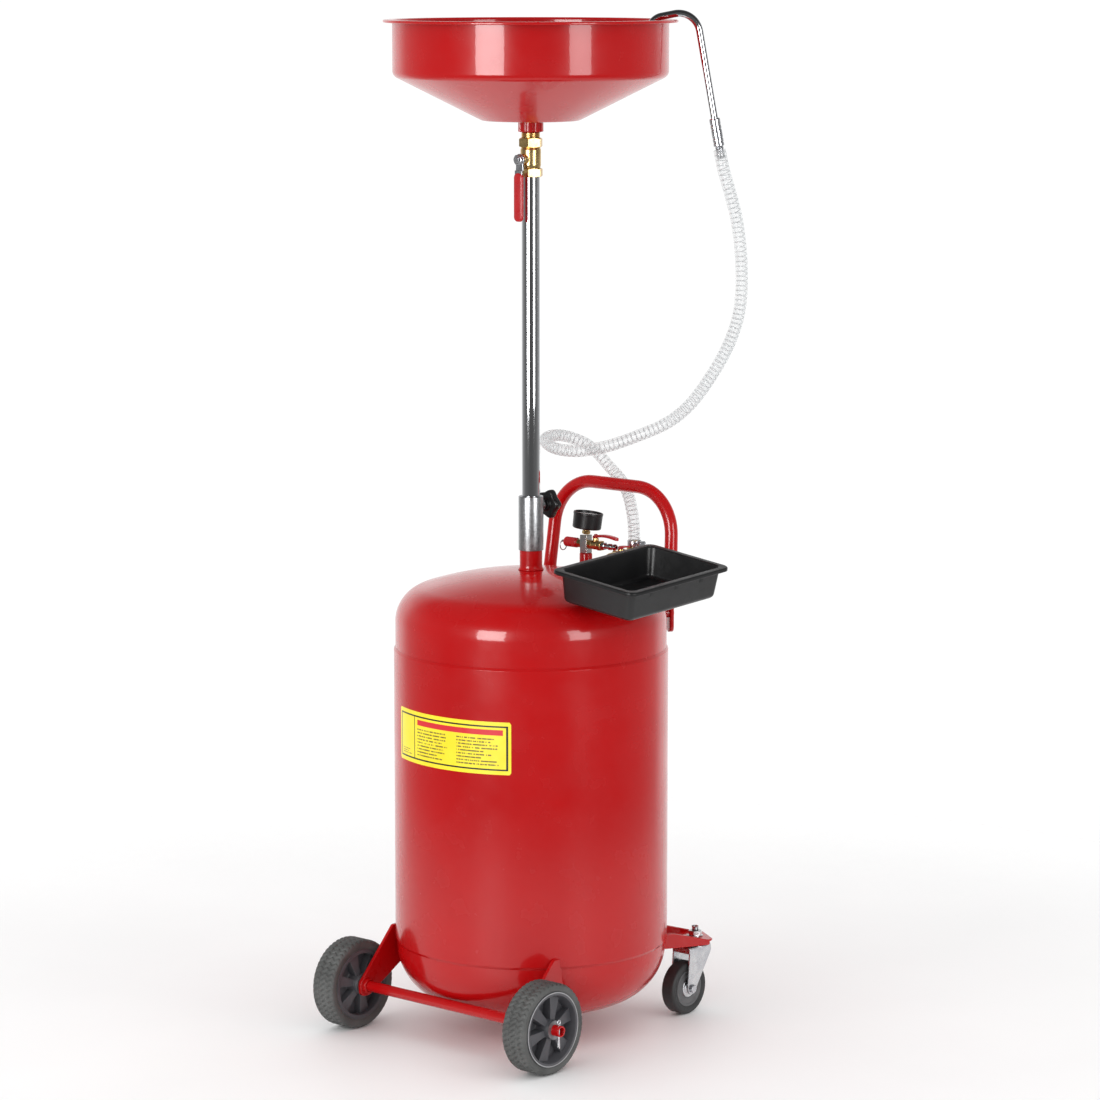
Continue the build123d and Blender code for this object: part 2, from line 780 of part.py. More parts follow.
# The bracket is a plate under the tray floor on two webs that are welded to the tank's top.
bracket_sheet = 3.0
bracket_width = 70.0
bracket_length = 128.0
bracket_shift = -14.0
web_width = 14.0
web_spacing = 60.0
tray_bottom = tray_plane.offset(-tray_depth - bracket_sheet)
with BuildPart() as tray_bracket:
    with BuildSketch(tray_bottom):
        with Locations((bracket_shift, 0)):
            Rectangle(bracket_width, bracket_length)
        with GridLocations(0, tray_length / 2, 1, 2):
            Circle(2.7, mode=Mode.SUBTRACT)
    extrude(amount=bracket_sheet)
    with BuildSketch(tray_bottom):
        with Locations((bracket_shift - (bracket_width - web_width) / 2, 0)):
            with GridLocations(0, web_spacing, 1, 2):
                Rectangle(web_width, bracket_sheet)
    extrude(amount=-70)
    add(tank_envelope.part, mode=Mode.SUBTRACT)
save(tray_bracket, "tray_bracket")

with BuildPart() as tray_screws:
    screw_floor = tray_plane.offset(tray_wall - tray_depth)
    with BuildSketch(screw_floor):
        with GridLocations(0, tray_length / 2, 1, 2):
            Circle(5.0)
    extrude(amount=2.2)
    with BuildSketch(screw_floor):
        with GridLocations(0, tray_length / 2, 1, 2):
            Circle(2.5)
    extrude(amount=-(tray_wall + bracket_sheet + 5))
save(tray_screws, "tray_screws")

# ---- air manifold -------------------------------------------------------------------------------
manifold_top_z = manifold_low_z + manifold_height
manifold_mid_z = manifold_low_z + 13.0
half_side = manifold_side / 2
with BuildPart() as manifold_socket:
    socket_base = top_height(0, manifold_y) - 8
    rod(manifold_socket_radius, upright(0, manifold_y, socket_base), manifold_low_z - socket_base, 4.9)
save(manifold_socket, "manifold_socket")

thread_radius = 4.8
with BuildPart() as manifold_block:
    with BuildSketch(upright(0, manifold_y, manifold_low_z)):
        Rectangle(manifold_side, manifold_side)
    extrude(amount=manifold_height)
    fillet(manifold_block.edges(), radius=1.0)
    rod(thread_radius, upright(0, manifold_y, manifold_low_z - 10), 11)
    rod(2.5, upright(0, manifold_y, manifold_low_z - 11), manifold_height + 4, mode=Mode.SUBTRACT)
    side_port = facing((-manifold_side, manifold_y, manifold_mid_z), (1, 0, 0))
    rod(2.5, side_port, 2 * manifold_side, mode=Mode.SUBTRACT)
save(manifold_block, "manifold_block")

lean = math.radians(gauge_lean)
gauge_up = Vector(0.7513 * math.sin(lean), 0.66 * math.sin(lean), math.cos(lean))
gauge_foot = Vector(0, manifold_y, manifold_top_z)
gauge_low = 9.0
gauge_wall = 1.5
gauge_face = gauge_low + gauge_height - 6.0


def gauge_plane(height):
    """A plane across the leaning gauge at a height above the manifold."""
    return Plane(origin=gauge_foot + gauge_up * height, x_dir=(0.7513, 0.66, 0), z_dir=gauge_up)


with BuildPart() as gauge_stem:
    hexagon(10.0, gauge_plane(1.0), 5.0)
    rod(3.8, gauge_plane(1.0), gauge_low - 1.0)
save(gauge_stem, "gauge_stem")

with BuildPart() as gauge_case:
    rod(gauge_radius, gauge_plane(gauge_low), gauge_height)
    fillet(gauge_case.edges().sort_by(Axis.Z)[-1], radius=1.2)
    rod(
        gauge_radius - gauge_wall,
        gauge_plane(gauge_low + gauge_wall),
        gauge_height,
        mode=Mode.SUBTRACT,
    )
save(gauge_case, "gauge_case")

gauge_inner = gauge_radius - gauge_wall - 0.1
pivot_radius = 1.2
with BuildPart() as gauge_dial:
    rod(gauge_inner, gauge_plane(gauge_low + gauge_wall), gauge_face - gauge_low - gauge_wall)
    rod(pivot_radius, gauge_plane(gauge_face), 2.0)
save(gauge_dial, "gauge_dial")

with BuildPart() as gauge_needle:
    with BuildSketch(gauge_plane(gauge_face + 0.6)):
        Circle(2.4)
        with Locations((-gauge_radius / 4, 0)):
            Rectangle(gauge_radius / 2 + 6, 1.0)
        Circle(pivot_radius + running_fit, mode=Mode.SUBTRACT)
    extrude(amount=0.8)
save(gauge_needle, "gauge_needle")

with BuildPart() as gauge_lens:
    rod(gauge_inner, gauge_plane(gauge_low + gauge_height - 2.8), 1.8)
save(gauge_lens, "gauge_lens")

# The relief valve's brass body and red cap; its pull pin and ring lift it off its seat.
relief_length = 31.0
relief_radius = 7.0
relief_pin_radius = 1.6
relief_start = facing((-half_side, manifold_y, manifold_mid_z), (-1, 0, 0))
with BuildPart() as relief_valve_body:
    hexagon(11.0, relief_start, 7.0)
    rod(relief_radius, relief_start.offset(7.0), relief_length - 7.0)
    fillet(relief_valve_body.faces().sort_by(Axis.X)[0].edges(), radius=2.0)
    pin_bore = relief_pin_radius + running_fit
    rod(pin_bore, relief_start.offset(8.0), relief_length, mode=Mode.SUBTRACT)
save(relief_valve_body, "relief_valve_body")

relief_pin_start = 14.0
relief_pin_proud = 7.0
ring_radius = 7.0
ring_wire = 0.8
with BuildPart() as relief_pull_ring:
    rod(
        relief_pin_radius,
        relief_start.offset(relief_pin_start),
        relief_length + relief_pin_proud - relief_pin_start,
    )
    ring_x = relief_start.origin.X - relief_length - relief_pin_proud + 2.5
    with Locations(Location((ring_x, manifold_y, manifold_mid_z - ring_radius + 1.4), (0, 90, 0))):
        Torus(ring_radius, ring_wire)
save(relief_pull_ring, "relief_pull_ring")

# The air inlet valve, its small lever and the quick-connect plug that the air line snaps onto.
air_length = 24.0
air_radius = 6.5
air_stem_at = 12.0
air_stem_radius = 2.5
air_top_z = manifold_mid_z + 10.0
air_start = facing((half_side, manifold_y, manifold_mid_z), (1, 0, 0))
air_stem_x = half_side + air_stem_at
with BuildPart() as air_valve_body:
    hexagon(11.5, air_start, 6.0)
    rod(air_radius, air_start.offset(6.0), air_length - 12.0)
    hexagon(13.0, air_start.offset(air_length - 7.0), 7.0)
    rod(4.2, upright(air_stem_x, manifold_y, manifold_mid_z), 10.0)
    rod(2.5, air_start.offset(-1.0), air_length + 2.0, mode=Mode.SUBTRACT)
    stem_bore = air_stem_radius + running_fit
    rod(stem_bore, upright(air_stem_x, manifold_y, manifold_mid_z + 4), 8.0, mode=Mode.SUBTRACT)
save(air_valve_body, "air_valve_body")

air_lever_length = 42.0
air_lever_width = 8.0
air_lever_thick = 2.2
with BuildPart() as air_valve_lever:
    lever_base = Plane(origin=(air_stem_x, manifold_y, air_top_z + 0.5), z_dir=(0, 0, 1))
    with BuildSketch(lever_base):
        Circle(4.6)
        with Locations((air_lever_length / 2 - 1, 0)):
            RectangleRounded(air_lever_length, air_lever_width, 3.0)
    extrude(amount=air_lever_thick)
    rod(air_stem_radius, lever_base.offset(-5.5), 9.0)
save(air_valve_lever, "air_valve_lever")

plug_length = 26.0
plug_radius = 4.6
with BuildPart() as air_inlet_plug:
    plug_start = air_start.offset(air_length)
    hexagon(10.0, plug_start, 6.0)
    rod(3.6, plug_start.offset(6.0), 6.0)
    rod(plug_radius, plug_start.offset(12.0), 5.0)
    rod(3.4, plug_start.offset(17.0), 4.0)
    rod(plug_radius, plug_start.offset(21.0), plug_length - 21.0)
    rod(2.0, plug_start.offset(-1.0), plug_length + 2.0, mode=Mode.SUBTRACT)
save(air_inlet_plug, "air_inlet_plug")

# ---- oil outlet ---------------------------------------------------------------------------------
dip_radius = 9.0
dip_low_z = 75.0
outlet_bore = 7.0
outlet_socket_top = outlet_z - 12.0
with BuildPart() as outlet_socket:
    socket_bottom = top_height(outlet_x, outlet_y) - 16
    rod(
        outlet_socket_radius,
        upright(outlet_x, outlet_y, socket_bottom),
        outlet_socket_top - socket_bottom,
        dip_radius + press_fit,
    )
save(outlet_socket, "outlet_socket")

with BuildPart() as dip_tube:
    rod(dip_radius, upright(outlet_x, outlet_y, dip_low_z), outlet_socket_top - dip_low_z, outlet_bore)
save(dip_tube, "dip_tube")

outlet_stem_y = outlet_y + 25.0
outlet_top_z = outlet_z + outlet_radius + 3.0
outlet_run = outlet_hose_y - outlet_y
with BuildPart() as outlet_valve_body:
    forward = facing((outlet_x, outlet_y, outlet_z), (0, 1, 0))
    rod(outlet_radius, upright(outlet_x, outlet_y, outlet_socket_top), outlet_z - outlet_socket_top)
    ball(outlet_radius, (outlet_x, outlet_y, outlet_z))
    rod(outlet_radius, forward, outlet_run)
    hexagon(24.0, forward.offset(14.5), 6.0)
    hexagon(24.0, forward.offset(33.0), 6.0)
    ball(outlet_radius, (outlet_x, outlet_hose_y, outlet_z))
    rod(outlet_radius, upright(outlet_x, outlet_hose_y, outlet_z), outlet_hose_z - outlet_z)
    rod(barb_radius, upright(outlet_x, outlet_hose_y, outlet_hose_z), 9.0)
    rod(5.0, upright(outlet_x, outlet_stem_y, outlet_z), outlet_top_z - outlet_z)
    rod(4.5, upright(outlet_x, outlet_hose_y, outlet_z), 60.0, mode=Mode.SUBTRACT)
    rod(4.5, forward, outlet_run, mode=Mode.SUBTRACT)
    rod(4.5, upright(outlet_x, outlet_y, outlet_socket_top - 1), 14.0, mode=Mode.SUBTRACT)
    rod(
        stem_radius - 1 + running_fit,
        upright(outlet_x, outlet_stem_y, outlet_z + 5),
        outlet_radius,
        mode=Mode.SUBTRACT,
    )
save(outlet_valve_body, "outlet_valve_body")

outlet_lever_length = 25.0
with BuildPart() as outlet_valve_lever:
    outlet_lever_base = upright(outlet_x, outlet_stem_y, outlet_top_z + body_gap)
    with BuildSketch(outlet_lever_base):
        Circle(6.0)
        with Locations((0, outlet_lever_length / 2 - 8)):
            RectangleRounded(9.0, outlet_lever_length, 4.0)
    extrude(amount=2.5)
    rod(stem_radius - 1, outlet_lever_base.offset(-8.0), 12.0)
save(outlet_valve_lever, "outlet_valve_lever")

# ---- rear axle ----------------------------------------------------------------------------------
bracket_wrap = 14.0
bracket_top_z = bottom_seam_z + 12.0
bracket_wall_y = -math.sqrt(tank_radius**2 - bracket_x**2)
with BuildPart() as rear_brackets:
    for side in (-1, 1):
        plate_start = facing((side * bracket_x - bracket_plate / 2, 0, 0), (1, 0, 0), x_dir=(0, 1, 0))
        with BuildSketch(plate_start):
            with BuildLine():
                Polyline(
                    (bracket_wall_y + 25, bracket_top_z),
                    (bracket_wall_y - 8, bracket_top_z),
                    (axle_y - bracket_wrap, wheel_radius + 5),
                    (axle_y - bracket_wrap + 3, wheel_radius - 9),
                    (axle_y + 2, wheel_radius - bracket_wrap),
                    (bracket_wall_y + 25, wheel_radius + 26),
                    close=True,
                )
            make_face()
            with Locations((axle_y, wheel_radius)):
                Circle(bracket_wrap)
                Circle(axle_radius + press_fit, mode=Mode.SUBTRACT)
        extrude(amount=bracket_plate)
    add(tank_envelope.part, mode=Mode.SUBTRACT)
save(rear_brackets, "rear_brackets")

axle_start = facing((-axle_half, axle_y, wheel_radius), (1, 0, 0))
pin_inset = 5.0
pin_radius = 1.6
with BuildPart() as axle:
    rod(axle_radius, axle_start, 2 * axle_half, axle_radius - 2.0)
    for side in (-1, 1):
        pin_hole = facing((side * (axle_half - pin_inset), axle_y, wheel_radius - 20), (0, 0, 1))
        rod(pin_radius + running_fit, pin_hole, 40.0, mode=Mode.SUBTRACT)
save(axle, "axle")

washer_thick = 1.5
hub_half = wheel_width / 2 + 1.0
washer_places = []
for side in (-1, 1):
    washer_places.append(side * wheel_x - hub_half - washer_thick - sliding_fit)
    washer_places.append(side * wheel_x + hub_half + sliding_fit)
with BuildPart() as axle_washers:
    for washer_x in washer_places:
        washer_plane = facing((washer_x, axle_y, wheel_radius), (1, 0, 0))
        rod(13.0, washer_plane, washer_thick, axle_radius + press_fit)
save(axle_washers, "axle_washers")

with BuildPart() as cotter_pins:
    for side in (-1, 1):
        pin_x = side * (axle_half - pin_inset)
        rod(pin_radius, facing((pin_x, axle_y, wheel_radius - 13), (0, 0, 1)), 24.0)
        with Locations(Location((pin_x, axle_y, wheel_radius + 13.5), (90, 0, 0))):
            Torus(2.6, 1.3)
save(cotter_pins, "cotter_pins")

tyre_thick = 13.0
tyre_seat = wheel_radius - tyre_thick
hub_radius = 14.0
rim_wall = 5.0
spoke_count = 6
spoke_width = 9.0
for side, name in ((-1, "left"), (1, "right")):
    wheel_side = facing((side * wheel_x - wheel_width / 2, axle_y, wheel_radius), (1, 0, 0))
    with BuildPart() as wheel_core:
        rod(tyre_seat, wheel_side.offset(1.0), wheel_width - 2, tyre_seat - rim_wall)
        rod(tyre_seat - rim_wall + 0.5, wheel_side.offset(wheel_width / 2 - 2), 4.0)
        rod(hub_radius, wheel_side.offset(-1.0), wheel_width + 2)
        spokes = wheel_side.offset(5.0)
        with BuildSketch(spokes):
            with PolarLocations((tyre_seat - rim_wall + hub_radius) / 2, spoke_count):
                Rectangle(tyre_seat - rim_wall - hub_radius + 4, spoke_width)
        extrude(amount=wheel_width - 10)
        rod(axle_radius + running_fit, wheel_side.offset(-2), wheel_width + 4, mode=Mode.SUBTRACT)
    save(wheel_core, f"wheel_core_{name}")

    with BuildPart() as tyre:
        rod(wheel_radius, wheel_side, wheel_width)
        fillet(tyre.edges(), radius=4.0)
        rod(tyre_seat + press_fit, wheel_side.offset(-1), wheel_width + 2, mode=Mode.SUBTRACT)
    save(tyre, f"tyre_{name}")

# ---- casters ------------------------------------------------------------------------------------
caster_reach = math.hypot(caster_x, caster_y)
race_radius = 21.0
race_thick = 7.0
plate_gap = 0.5
fork_top_z = caster_floor_z - race_thick - plate_gap
fork_half = caster_wheel_width / 2 + 2.5
caster_axle_y = caster_y - caster_trail


def caster_frame(side, z):
    """A horizontal plane on a caster's swivel axis, its x direction out of the tank."""
    outward = (side * caster_x / caster_reach, caster_y / caster_reach, 0)
    return Plane(origin=(side * caster_x, caster_y, z), x_dir=outward, z_dir=(0, 0, 1))


bracket_tip = 22.0
bracket_wall = 13.0
for side, name in ((-1, "left"), (1, "right")):
    root_reach = tank_radius - 20 - caster_reach
    half_width = caster_bracket_width / 2
    with BuildPart() as caster_bracket:
        with BuildSketch(caster_frame(side, caster_floor_z)):
            with BuildLine():
                Polyline(
                    (root_reach, -half_width),
                    (bracket_tip - 6, -half_width + 6),
                    (bracket_tip, -half_width + 12),
                    (bracket_tip, half_width - 12),
                    (bracket_tip - 6, half_width - 6),
                    (root_reach, half_width),
                    close=True,
                )
            make_face()
            Circle(caster_stem_radius + press_fit, mode=Mode.SUBTRACT)
        extrude(amount=caster_plate)
        for edge in (-1, 1):
            with BuildSketch(caster_frame(side, caster_floor_z - 5)):
                with BuildLine():
                    Polyline(
                        (root_reach, edge * half_width),
                        (bracket_tip - 6, edge * (half_width - 6)),
                        (bracket_tip - 6, edge * (half_width - 6 - caster_plate)),
                        (root_reach, edge * (half_width - caster_plate)),
                        close=True,
                    )
                make_face()
            extrude(amount=caster_plate + bracket_wall + 5)
        # the side walls taper towards the tip
        swivel = caster_frame(side, 0)
        across = Plane(origin=swivel.origin, x_dir=swivel.x_dir, z_dir=swivel.y_dir)
        with BuildSketch(across) as taper:
            with BuildLine():
                Polyline(
                    (root_reach + 30, -(caster_floor_z + caster_plate + bracket_wall)),
                    (bracket_tip + 5, -(caster_floor_z + caster_plate + 2)),
                    (bracket_tip + 5, -(caster_floor_z + caster_plate + bracket_wall + 5)),
                    (root_reach + 30, -(caster_floor_z + caster_plate + bracket_wall + 5)),
                    close=True,
                )
            make_face()
        extrude(taper.sketch, amount=half_width + 5, both=True, mode=Mode.SUBTRACT)
        add(tank_envelope.part, mode=Mode.SUBTRACT)
    save(caster_bracket, f"caster_bracket_{name}")

nut_height = 8.0
with BuildPart() as caster_stems:
    for side in (-1, 1):
        rod(caster_stem_radius, caster_frame(side, fork_top_z - 7), caster_floor_z + 22 - fork_top_z)
        rod(race_radius, caster_frame(side, caster_floor_z - race_thick), race_thick)
        rod(9.0, caster_frame(side, fork_top_z - fork_sheet - 4.5), 4.0)
save(caster_stems, "caster_stems")

with BuildPart() as caster_nuts:
    for side in (-1, 1):
        nut_base = caster_frame(side, caster_floor_z + caster_plate)
        rod(11.0, nut_base, 1.5)
        hexagon(17.0, nut_base.offset(1.5), nut_height)
        rod(caster_stem_radius + press_fit, nut_base, 20.0, mode=Mode.SUBTRACT)
save(caster_nuts, "caster_nuts")

rivet_radius = 3.0
for side, name in ((-1, "left"), (1, "right")):
    with BuildPart() as caster_fork:
        rod(race_radius, upright(side * caster_x, caster_y, fork_top_z - fork_sheet), fork_sheet)
        with BuildSketch(upright(side * caster_x, caster_y - 10, fork_top_z - fork_sheet)):
            Rectangle(2 * (fork_half + fork_sheet), 34.0)
        extrude(amount=fork_sheet)
        rod(
            caster_stem_radius + running_fit,
            upright(side * caster_x, caster_y, fork_top_z - 5),
            10.0,
            mode=Mode.SUBTRACT,
        )
        for cheek in (-1, 1):
            cheek_x = side * caster_x + cheek * fork_half + (0 if cheek > 0 else -fork_sheet)
            cheek_plane = Plane(origin=(cheek_x, 0, 0), x_dir=(0, 1, 0), z_dir=(1, 0, 0))
            with BuildSketch(cheek_plane):
                with BuildLine():
                    Polyline(
                        (caster_y - 27, fork_top_z),
                        (caster_y + 7, fork_top_z),
                        (caster_axle_y + 8, caster_wheel_radius),
                        (caster_axle_y - 8, caster_wheel_radius),
                        (caster_y - 27, fork_top_z - 14),
                        close=True,
                    )
                make_face()
                with Locations((caster_axle_y, caster_wheel_radius)):
                    Circle(8.0)
                    Circle(rivet_radius + press_fit, mode=Mode.SUBTRACT)
            extrude(amount=fork_sheet)
        bolt_length = 2 * (fork_half + fork_sheet)
        bolt_start = facing(
            (side * caster_x - bolt_length / 2, caster_axle_y, caster_wheel_radius), (1, 0, 0)
        )
        rod(rivet_radius, bolt_start.offset(-3.0), bolt_length + 6.0)
        hexagon(10.0, bolt_start.offset(-4.0), 4.0)
        hexagon(10.0, bolt_start.offset(bolt_length), 4.0)
    save(caster_fork, f"caster_fork_{name}")

    with BuildPart() as caster_wheel:
        wheel_start = facing(
            (side * caster_x - caster_wheel_width / 2, caster_axle_y, caster_wheel_radius), (1, 0, 0)
        )
        rod(caster_wheel_radius, wheel_start, caster_wheel_width)
        fillet(caster_wheel.edges(), radius=5.0)
        rod(9.0, wheel_start.offset(-1.5), caster_wheel_width + 3.0)
        caster_bore = rivet_radius + running_fit
        rod(caster_bore, wheel_start.offset(-2), caster_wheel_width + 4, mode=Mode.SUBTRACT)
    save(caster_wheel, f"caster_wheel_{name}")
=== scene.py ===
"""Looks of a wheeled waste-oil drain tank with a height-adjustable pan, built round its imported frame.

Shapes are worked out in millimetres and brought to metres in piece(). +X lies along the rear axle,
+Y points from the axle to the casters and the push handle, +Z is up.
"""

import json
import math

import bmesh
import bpy
from mathutils import Matrix, Vector


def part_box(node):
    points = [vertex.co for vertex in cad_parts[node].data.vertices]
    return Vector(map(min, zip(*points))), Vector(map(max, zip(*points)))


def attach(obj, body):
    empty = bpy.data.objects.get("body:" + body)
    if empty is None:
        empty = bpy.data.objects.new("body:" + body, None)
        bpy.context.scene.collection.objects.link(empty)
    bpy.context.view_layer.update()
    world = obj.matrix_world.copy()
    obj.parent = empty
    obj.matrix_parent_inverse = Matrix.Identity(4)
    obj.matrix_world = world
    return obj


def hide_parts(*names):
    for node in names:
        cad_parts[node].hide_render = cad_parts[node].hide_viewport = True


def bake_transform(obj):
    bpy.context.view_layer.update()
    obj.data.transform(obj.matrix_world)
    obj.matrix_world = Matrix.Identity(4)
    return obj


MM = 0.001
WHOLE = 2 * math.pi

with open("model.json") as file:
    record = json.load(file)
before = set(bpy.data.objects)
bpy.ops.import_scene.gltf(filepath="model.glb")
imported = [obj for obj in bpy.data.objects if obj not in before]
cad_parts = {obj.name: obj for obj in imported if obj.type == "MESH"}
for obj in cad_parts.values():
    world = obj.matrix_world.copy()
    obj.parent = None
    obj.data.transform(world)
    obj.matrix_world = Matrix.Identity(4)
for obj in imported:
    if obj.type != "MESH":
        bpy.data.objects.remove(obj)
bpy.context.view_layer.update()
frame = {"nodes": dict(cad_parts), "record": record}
node_slots = {part["node"]: part["material_slot"] for part in frame["record"]["subparts"]}


# ---- places and sizes ---------------------------------------------------------------------------
def extent(node):
    """A CAD node's low corner, high corner and middle, in millimetres."""
    low, high = (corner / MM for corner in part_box(node))
    return low, high, (low + high) / 2


def at(origin, up=(0, 0, 1), across=None):
    """A local frame in millimetres: its origin, its z direction and about where its x points."""
    z = Vector(up).normalized()
    hint = Vector(across) if across else Vector((1, 0, 0) if abs(z.x) < 0.9 else (0, 1, 0))
    y = z.cross(hint).normalized()
    return Matrix.Translation(Vector(origin)) @ Matrix((y.cross(z), y, z)).transposed().to_4x4()


def smooth_step(value, low, high):
    """0 below low, 1 above high and a soft change between."""
    share = min(1.0, max(0.0, (value - low) / (high - low)))
    return share * share * (3 - 2 * share)


def rounded(points, radii, closed=True, steps=5):
    """A line through points with an arc at each corner whose radius isn't 0, in two or three dimensions."""
    points = [Vector(p).to_3d() for p in points]
    last = len(points) - 1
    made = []
    for i, here in enumerate(points):
        radius = radii[i] if isinstance(radii, (list, tuple)) else radii
        if not radius or (not closed and i in (0, last)):
            made.append(here)
            continue
        back, ahead = points[i - 1] - here, points[(i + 1) % len(points)] - here
        room = 0.495 * min(back.length, ahead.length)
        back.normalize()
        ahead.normalize()
        half = back.angle(ahead) / 2
        if half > math.pi / 2 - 1e-3:
            made.append(here)
            continue
        run = min(radius / math.tan(half), room)
        radius = run * math.tan(half)
        centre = here + (back + ahead).normalized() * (radius / math.sin(half))
        first, final = here + back * run - centre, here + ahead * run - centre
        swing = first.angle(final)
        for step in range(steps + 1):
            share = step / steps
            weights = math.sin((1 - share) * swing), math.sin(share * swing)
            made.append(centre + (first * weights[0] + final * weights[1]) / math.sin(swing))
    return made


def flat(points):
    """Two-dimensional copies of points."""
    return [(p[0], p[1]) for p in points]


def circle(radius, count):
    """Points round the origin, the first of them on the x axis."""
    angles = [WHOLE * k / count for k in range(count)]
    return [(radius * math.cos(angle), radius * math.sin(angle), 0) for angle in angles]


def turned_corners(points, radii, steps=5):
    """A lathe outline with rounded corners."""
    return flat(rounded(points, radii, True, steps))


# ---- mesh code ----------------------------------------------------------------------------------
def lathe(bm, outline, place=None, turns=96, shape=None, closed=True):
    """Turn a (radius, height) outline about a frame's z. shape(angle, radius, height) may change a point."""
    place = place or Matrix()
    rings = []
    for step in range(turns):
        angle = WHOLE * step / turns
        ring = []
        for radius, height in outline:
            if shape:
                radius, height = shape(angle, radius, height)
            point = Vector((radius * math.cos(angle), radius * math.sin(angle), height))
            ring.append(bm.verts.new(place @ point))
        rings.append(ring)
    span = len(outline) if closed else len(outline) - 1
    for here, there in zip(rings, rings[1:] + rings[:1]):
        for i in range(span):
            j = (i + 1) % len(outline)
            bm.faces.new((here[i], there[i], there[j], here[j]))


def rod(bm, radius, low, high, place, bore=0.0, edge=0.4, turns=64):
    """A round bar or tube with broken edges along a frame's z."""
    outline = [(bore, low), (radius, low), (radius, high), (bore, high)]
    radii = [edge if bore else 0, edge, edge, edge if bore else 0]
    lathe(bm, turned_corners(outline, radii, 3), place, turns)


def hexagon(bm, across, low, high, place, bore=0.0, turns=96):
    """A hexagonal nut or head with the curved chamfers of a turned end."""
    apothem = across / 2
    ledge = 0.94 * apothem

    def shape(angle, radius, height):
        if radius < ledge + 1e-6:
            return radius, height
        corner = apothem / math.cos(angle % (math.pi / 3) - math.pi / 6)
        fall = 0.5 * (corner - ledge)
        return corner, height + (fall if height < (low + high) / 2 else -fall)

    outline = [(bore, low), (ledge, low), (across, low), (across, high), (ledge, high), (bore, high)]
    lathe(bm, outline, place, turns, shape)


def bridge(bm, loops, closed_ends=True, ring=False):
    """Skin a row of point loops of one size, and cap its ends."""
    made = [[bm.verts.new(point) for point in loop] for loop in loops]
    size = len(made[0])
    for here, there in zip(made, made[1:] + (made[:1] if ring else [])):
        for i in range(size):
            j = (i + 1) % size
            bm.faces.new((here[i], here[j], there[j], there[i]))
    if closed_ends and not ring:
        bm.faces.new(made[0][::-1])
        bm.faces.new(made[-1])


def path_frames(path, ring=False):
    """A direction and two sideways directions at each point of a path, carried along without twist."""
    count = len(path)
    frames = []
    side = None
    for i, here in enumerate(path):
        before = path[(i - 1) % count] if ring else path[max(i - 1, 0)]
        after = path[(i + 1) % count] if ring else path[min(i + 1, count - 1)]
        along = (after - before).normalized()
        if side is None:
            side = along.orthogonal().normalized()
        side = (side - along * side.dot(along)).normalized()
        frames.append((along, side, along.cross(side)))
    return frames


def pipe(bm, path, radius, sides=20, bore=0.0, ring=False):
    """A round tube along a path. radius may be a function of the share of the path."""
    path = [Vector(p) for p in path]
    outer, inner = [], []
    for i, (here, (_, a, b)) in enumerate(zip(path, path_frames(path, ring))):
        size = radius(i / (len(path) - 1)) if callable(radius) else radius
        turn = [WHOLE * k / sides for k in range(sides)]
        outer.append([here + (a * math.cos(t) + b * math.sin(t)) * size for t in turn])
        inner.append([here + (a * math.cos(t) + b * math.sin(t)) * bore for t in turn])
    if not bore:
        bridge(bm, outer, True, ring)
    else:
        bridge(bm, outer + inner[::-1], False, True)


def prism(bm, outline, place, low, high):
    """A flat outline in a frame's x and y, pushed from one height to another."""
    points = [Vector(p).to_3d() for p in outline]
    bridge(bm, [[place @ (p + Vector((0, 0, level))) for p in points] for level in (low, high)])


def round_box(half_x, half_y, corner, steps=6):
    """The outline of a rounded rectangle about the origin."""
    points = [(half_x, -half_y), (half_x, half_y), (-half_x, half_y), (-half_x, -half_y)]
    return flat(rounded(points, corner, True, steps))


def piece(name, bm, body, finish, nodes=(), sharp=32.0, bevel=0.0):
    """Make an object of a mesh in millimetres, give it its finish, and let it ride on a CAD body."""
    bmesh.ops.scale(bm, vec=(MM, MM, MM), verts=bm.verts)
    bmesh.ops.remove_doubles(bm, verts=bm.verts, dist=1e-7)
    bmesh.ops.recalc_face_normals(bm, faces=bm.faces)
    mesh = bpy.data.meshes.new(name)
    bm.to_mesh(mesh)
    bm.free()
    for look in finish if isinstance(finish, list) else [finish]:
        mesh.materials.append(look)
    mesh.polygons.foreach_set("use_smooth", [True] * len(mesh.polygons))
    made = bpy.data.objects.new(name, mesh)
    bpy.context.scene.collection.objects.link(made)
    if bevel:
        edge = made.modifiers.new("Edge", "BEVEL")
        edge.width = bevel * MM
        edge.segments = 3
        edge.limit_method = "ANGLE"
        edge.angle_limit = math.radians(35)
        edge.harden_normals = True
    else:
        mesh.set_sharp_from_angle(angle=math.radians(sharp))
    if body:
        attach(made, body)
    if nodes:
        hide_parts(*nodes)
    return made


# ---- materials ----------------------------------------------------------------------------------
def add_node(tree, kind, values=None, **settings):
    """One shader node, its sockets set to values or linked to other sockets."""
    made = tree.nodes.new("ShaderNode" + kind)
    for setting, value in settings.items():
        setattr(made, setting, value)
    for socket, value in (values or {}).items():
        if isinstance(value, bpy.types.NodeSocket):
            tree.links.new(value, made.inputs[socket])
        else:
            made.inputs[socket].default_value = value
    return made


def new_material(name, sockets):
    """A material whose Principled shader has these constants on its own sockets."""
    made = bpy.data.materials.new(name)
    made.use_nodes = True
    tree = made.node_tree
    shader = tree.nodes["Principled BSDF"]
    for socket, value in sockets.items():
        shader.inputs[socket].default_value = value
    return made, tree, shader


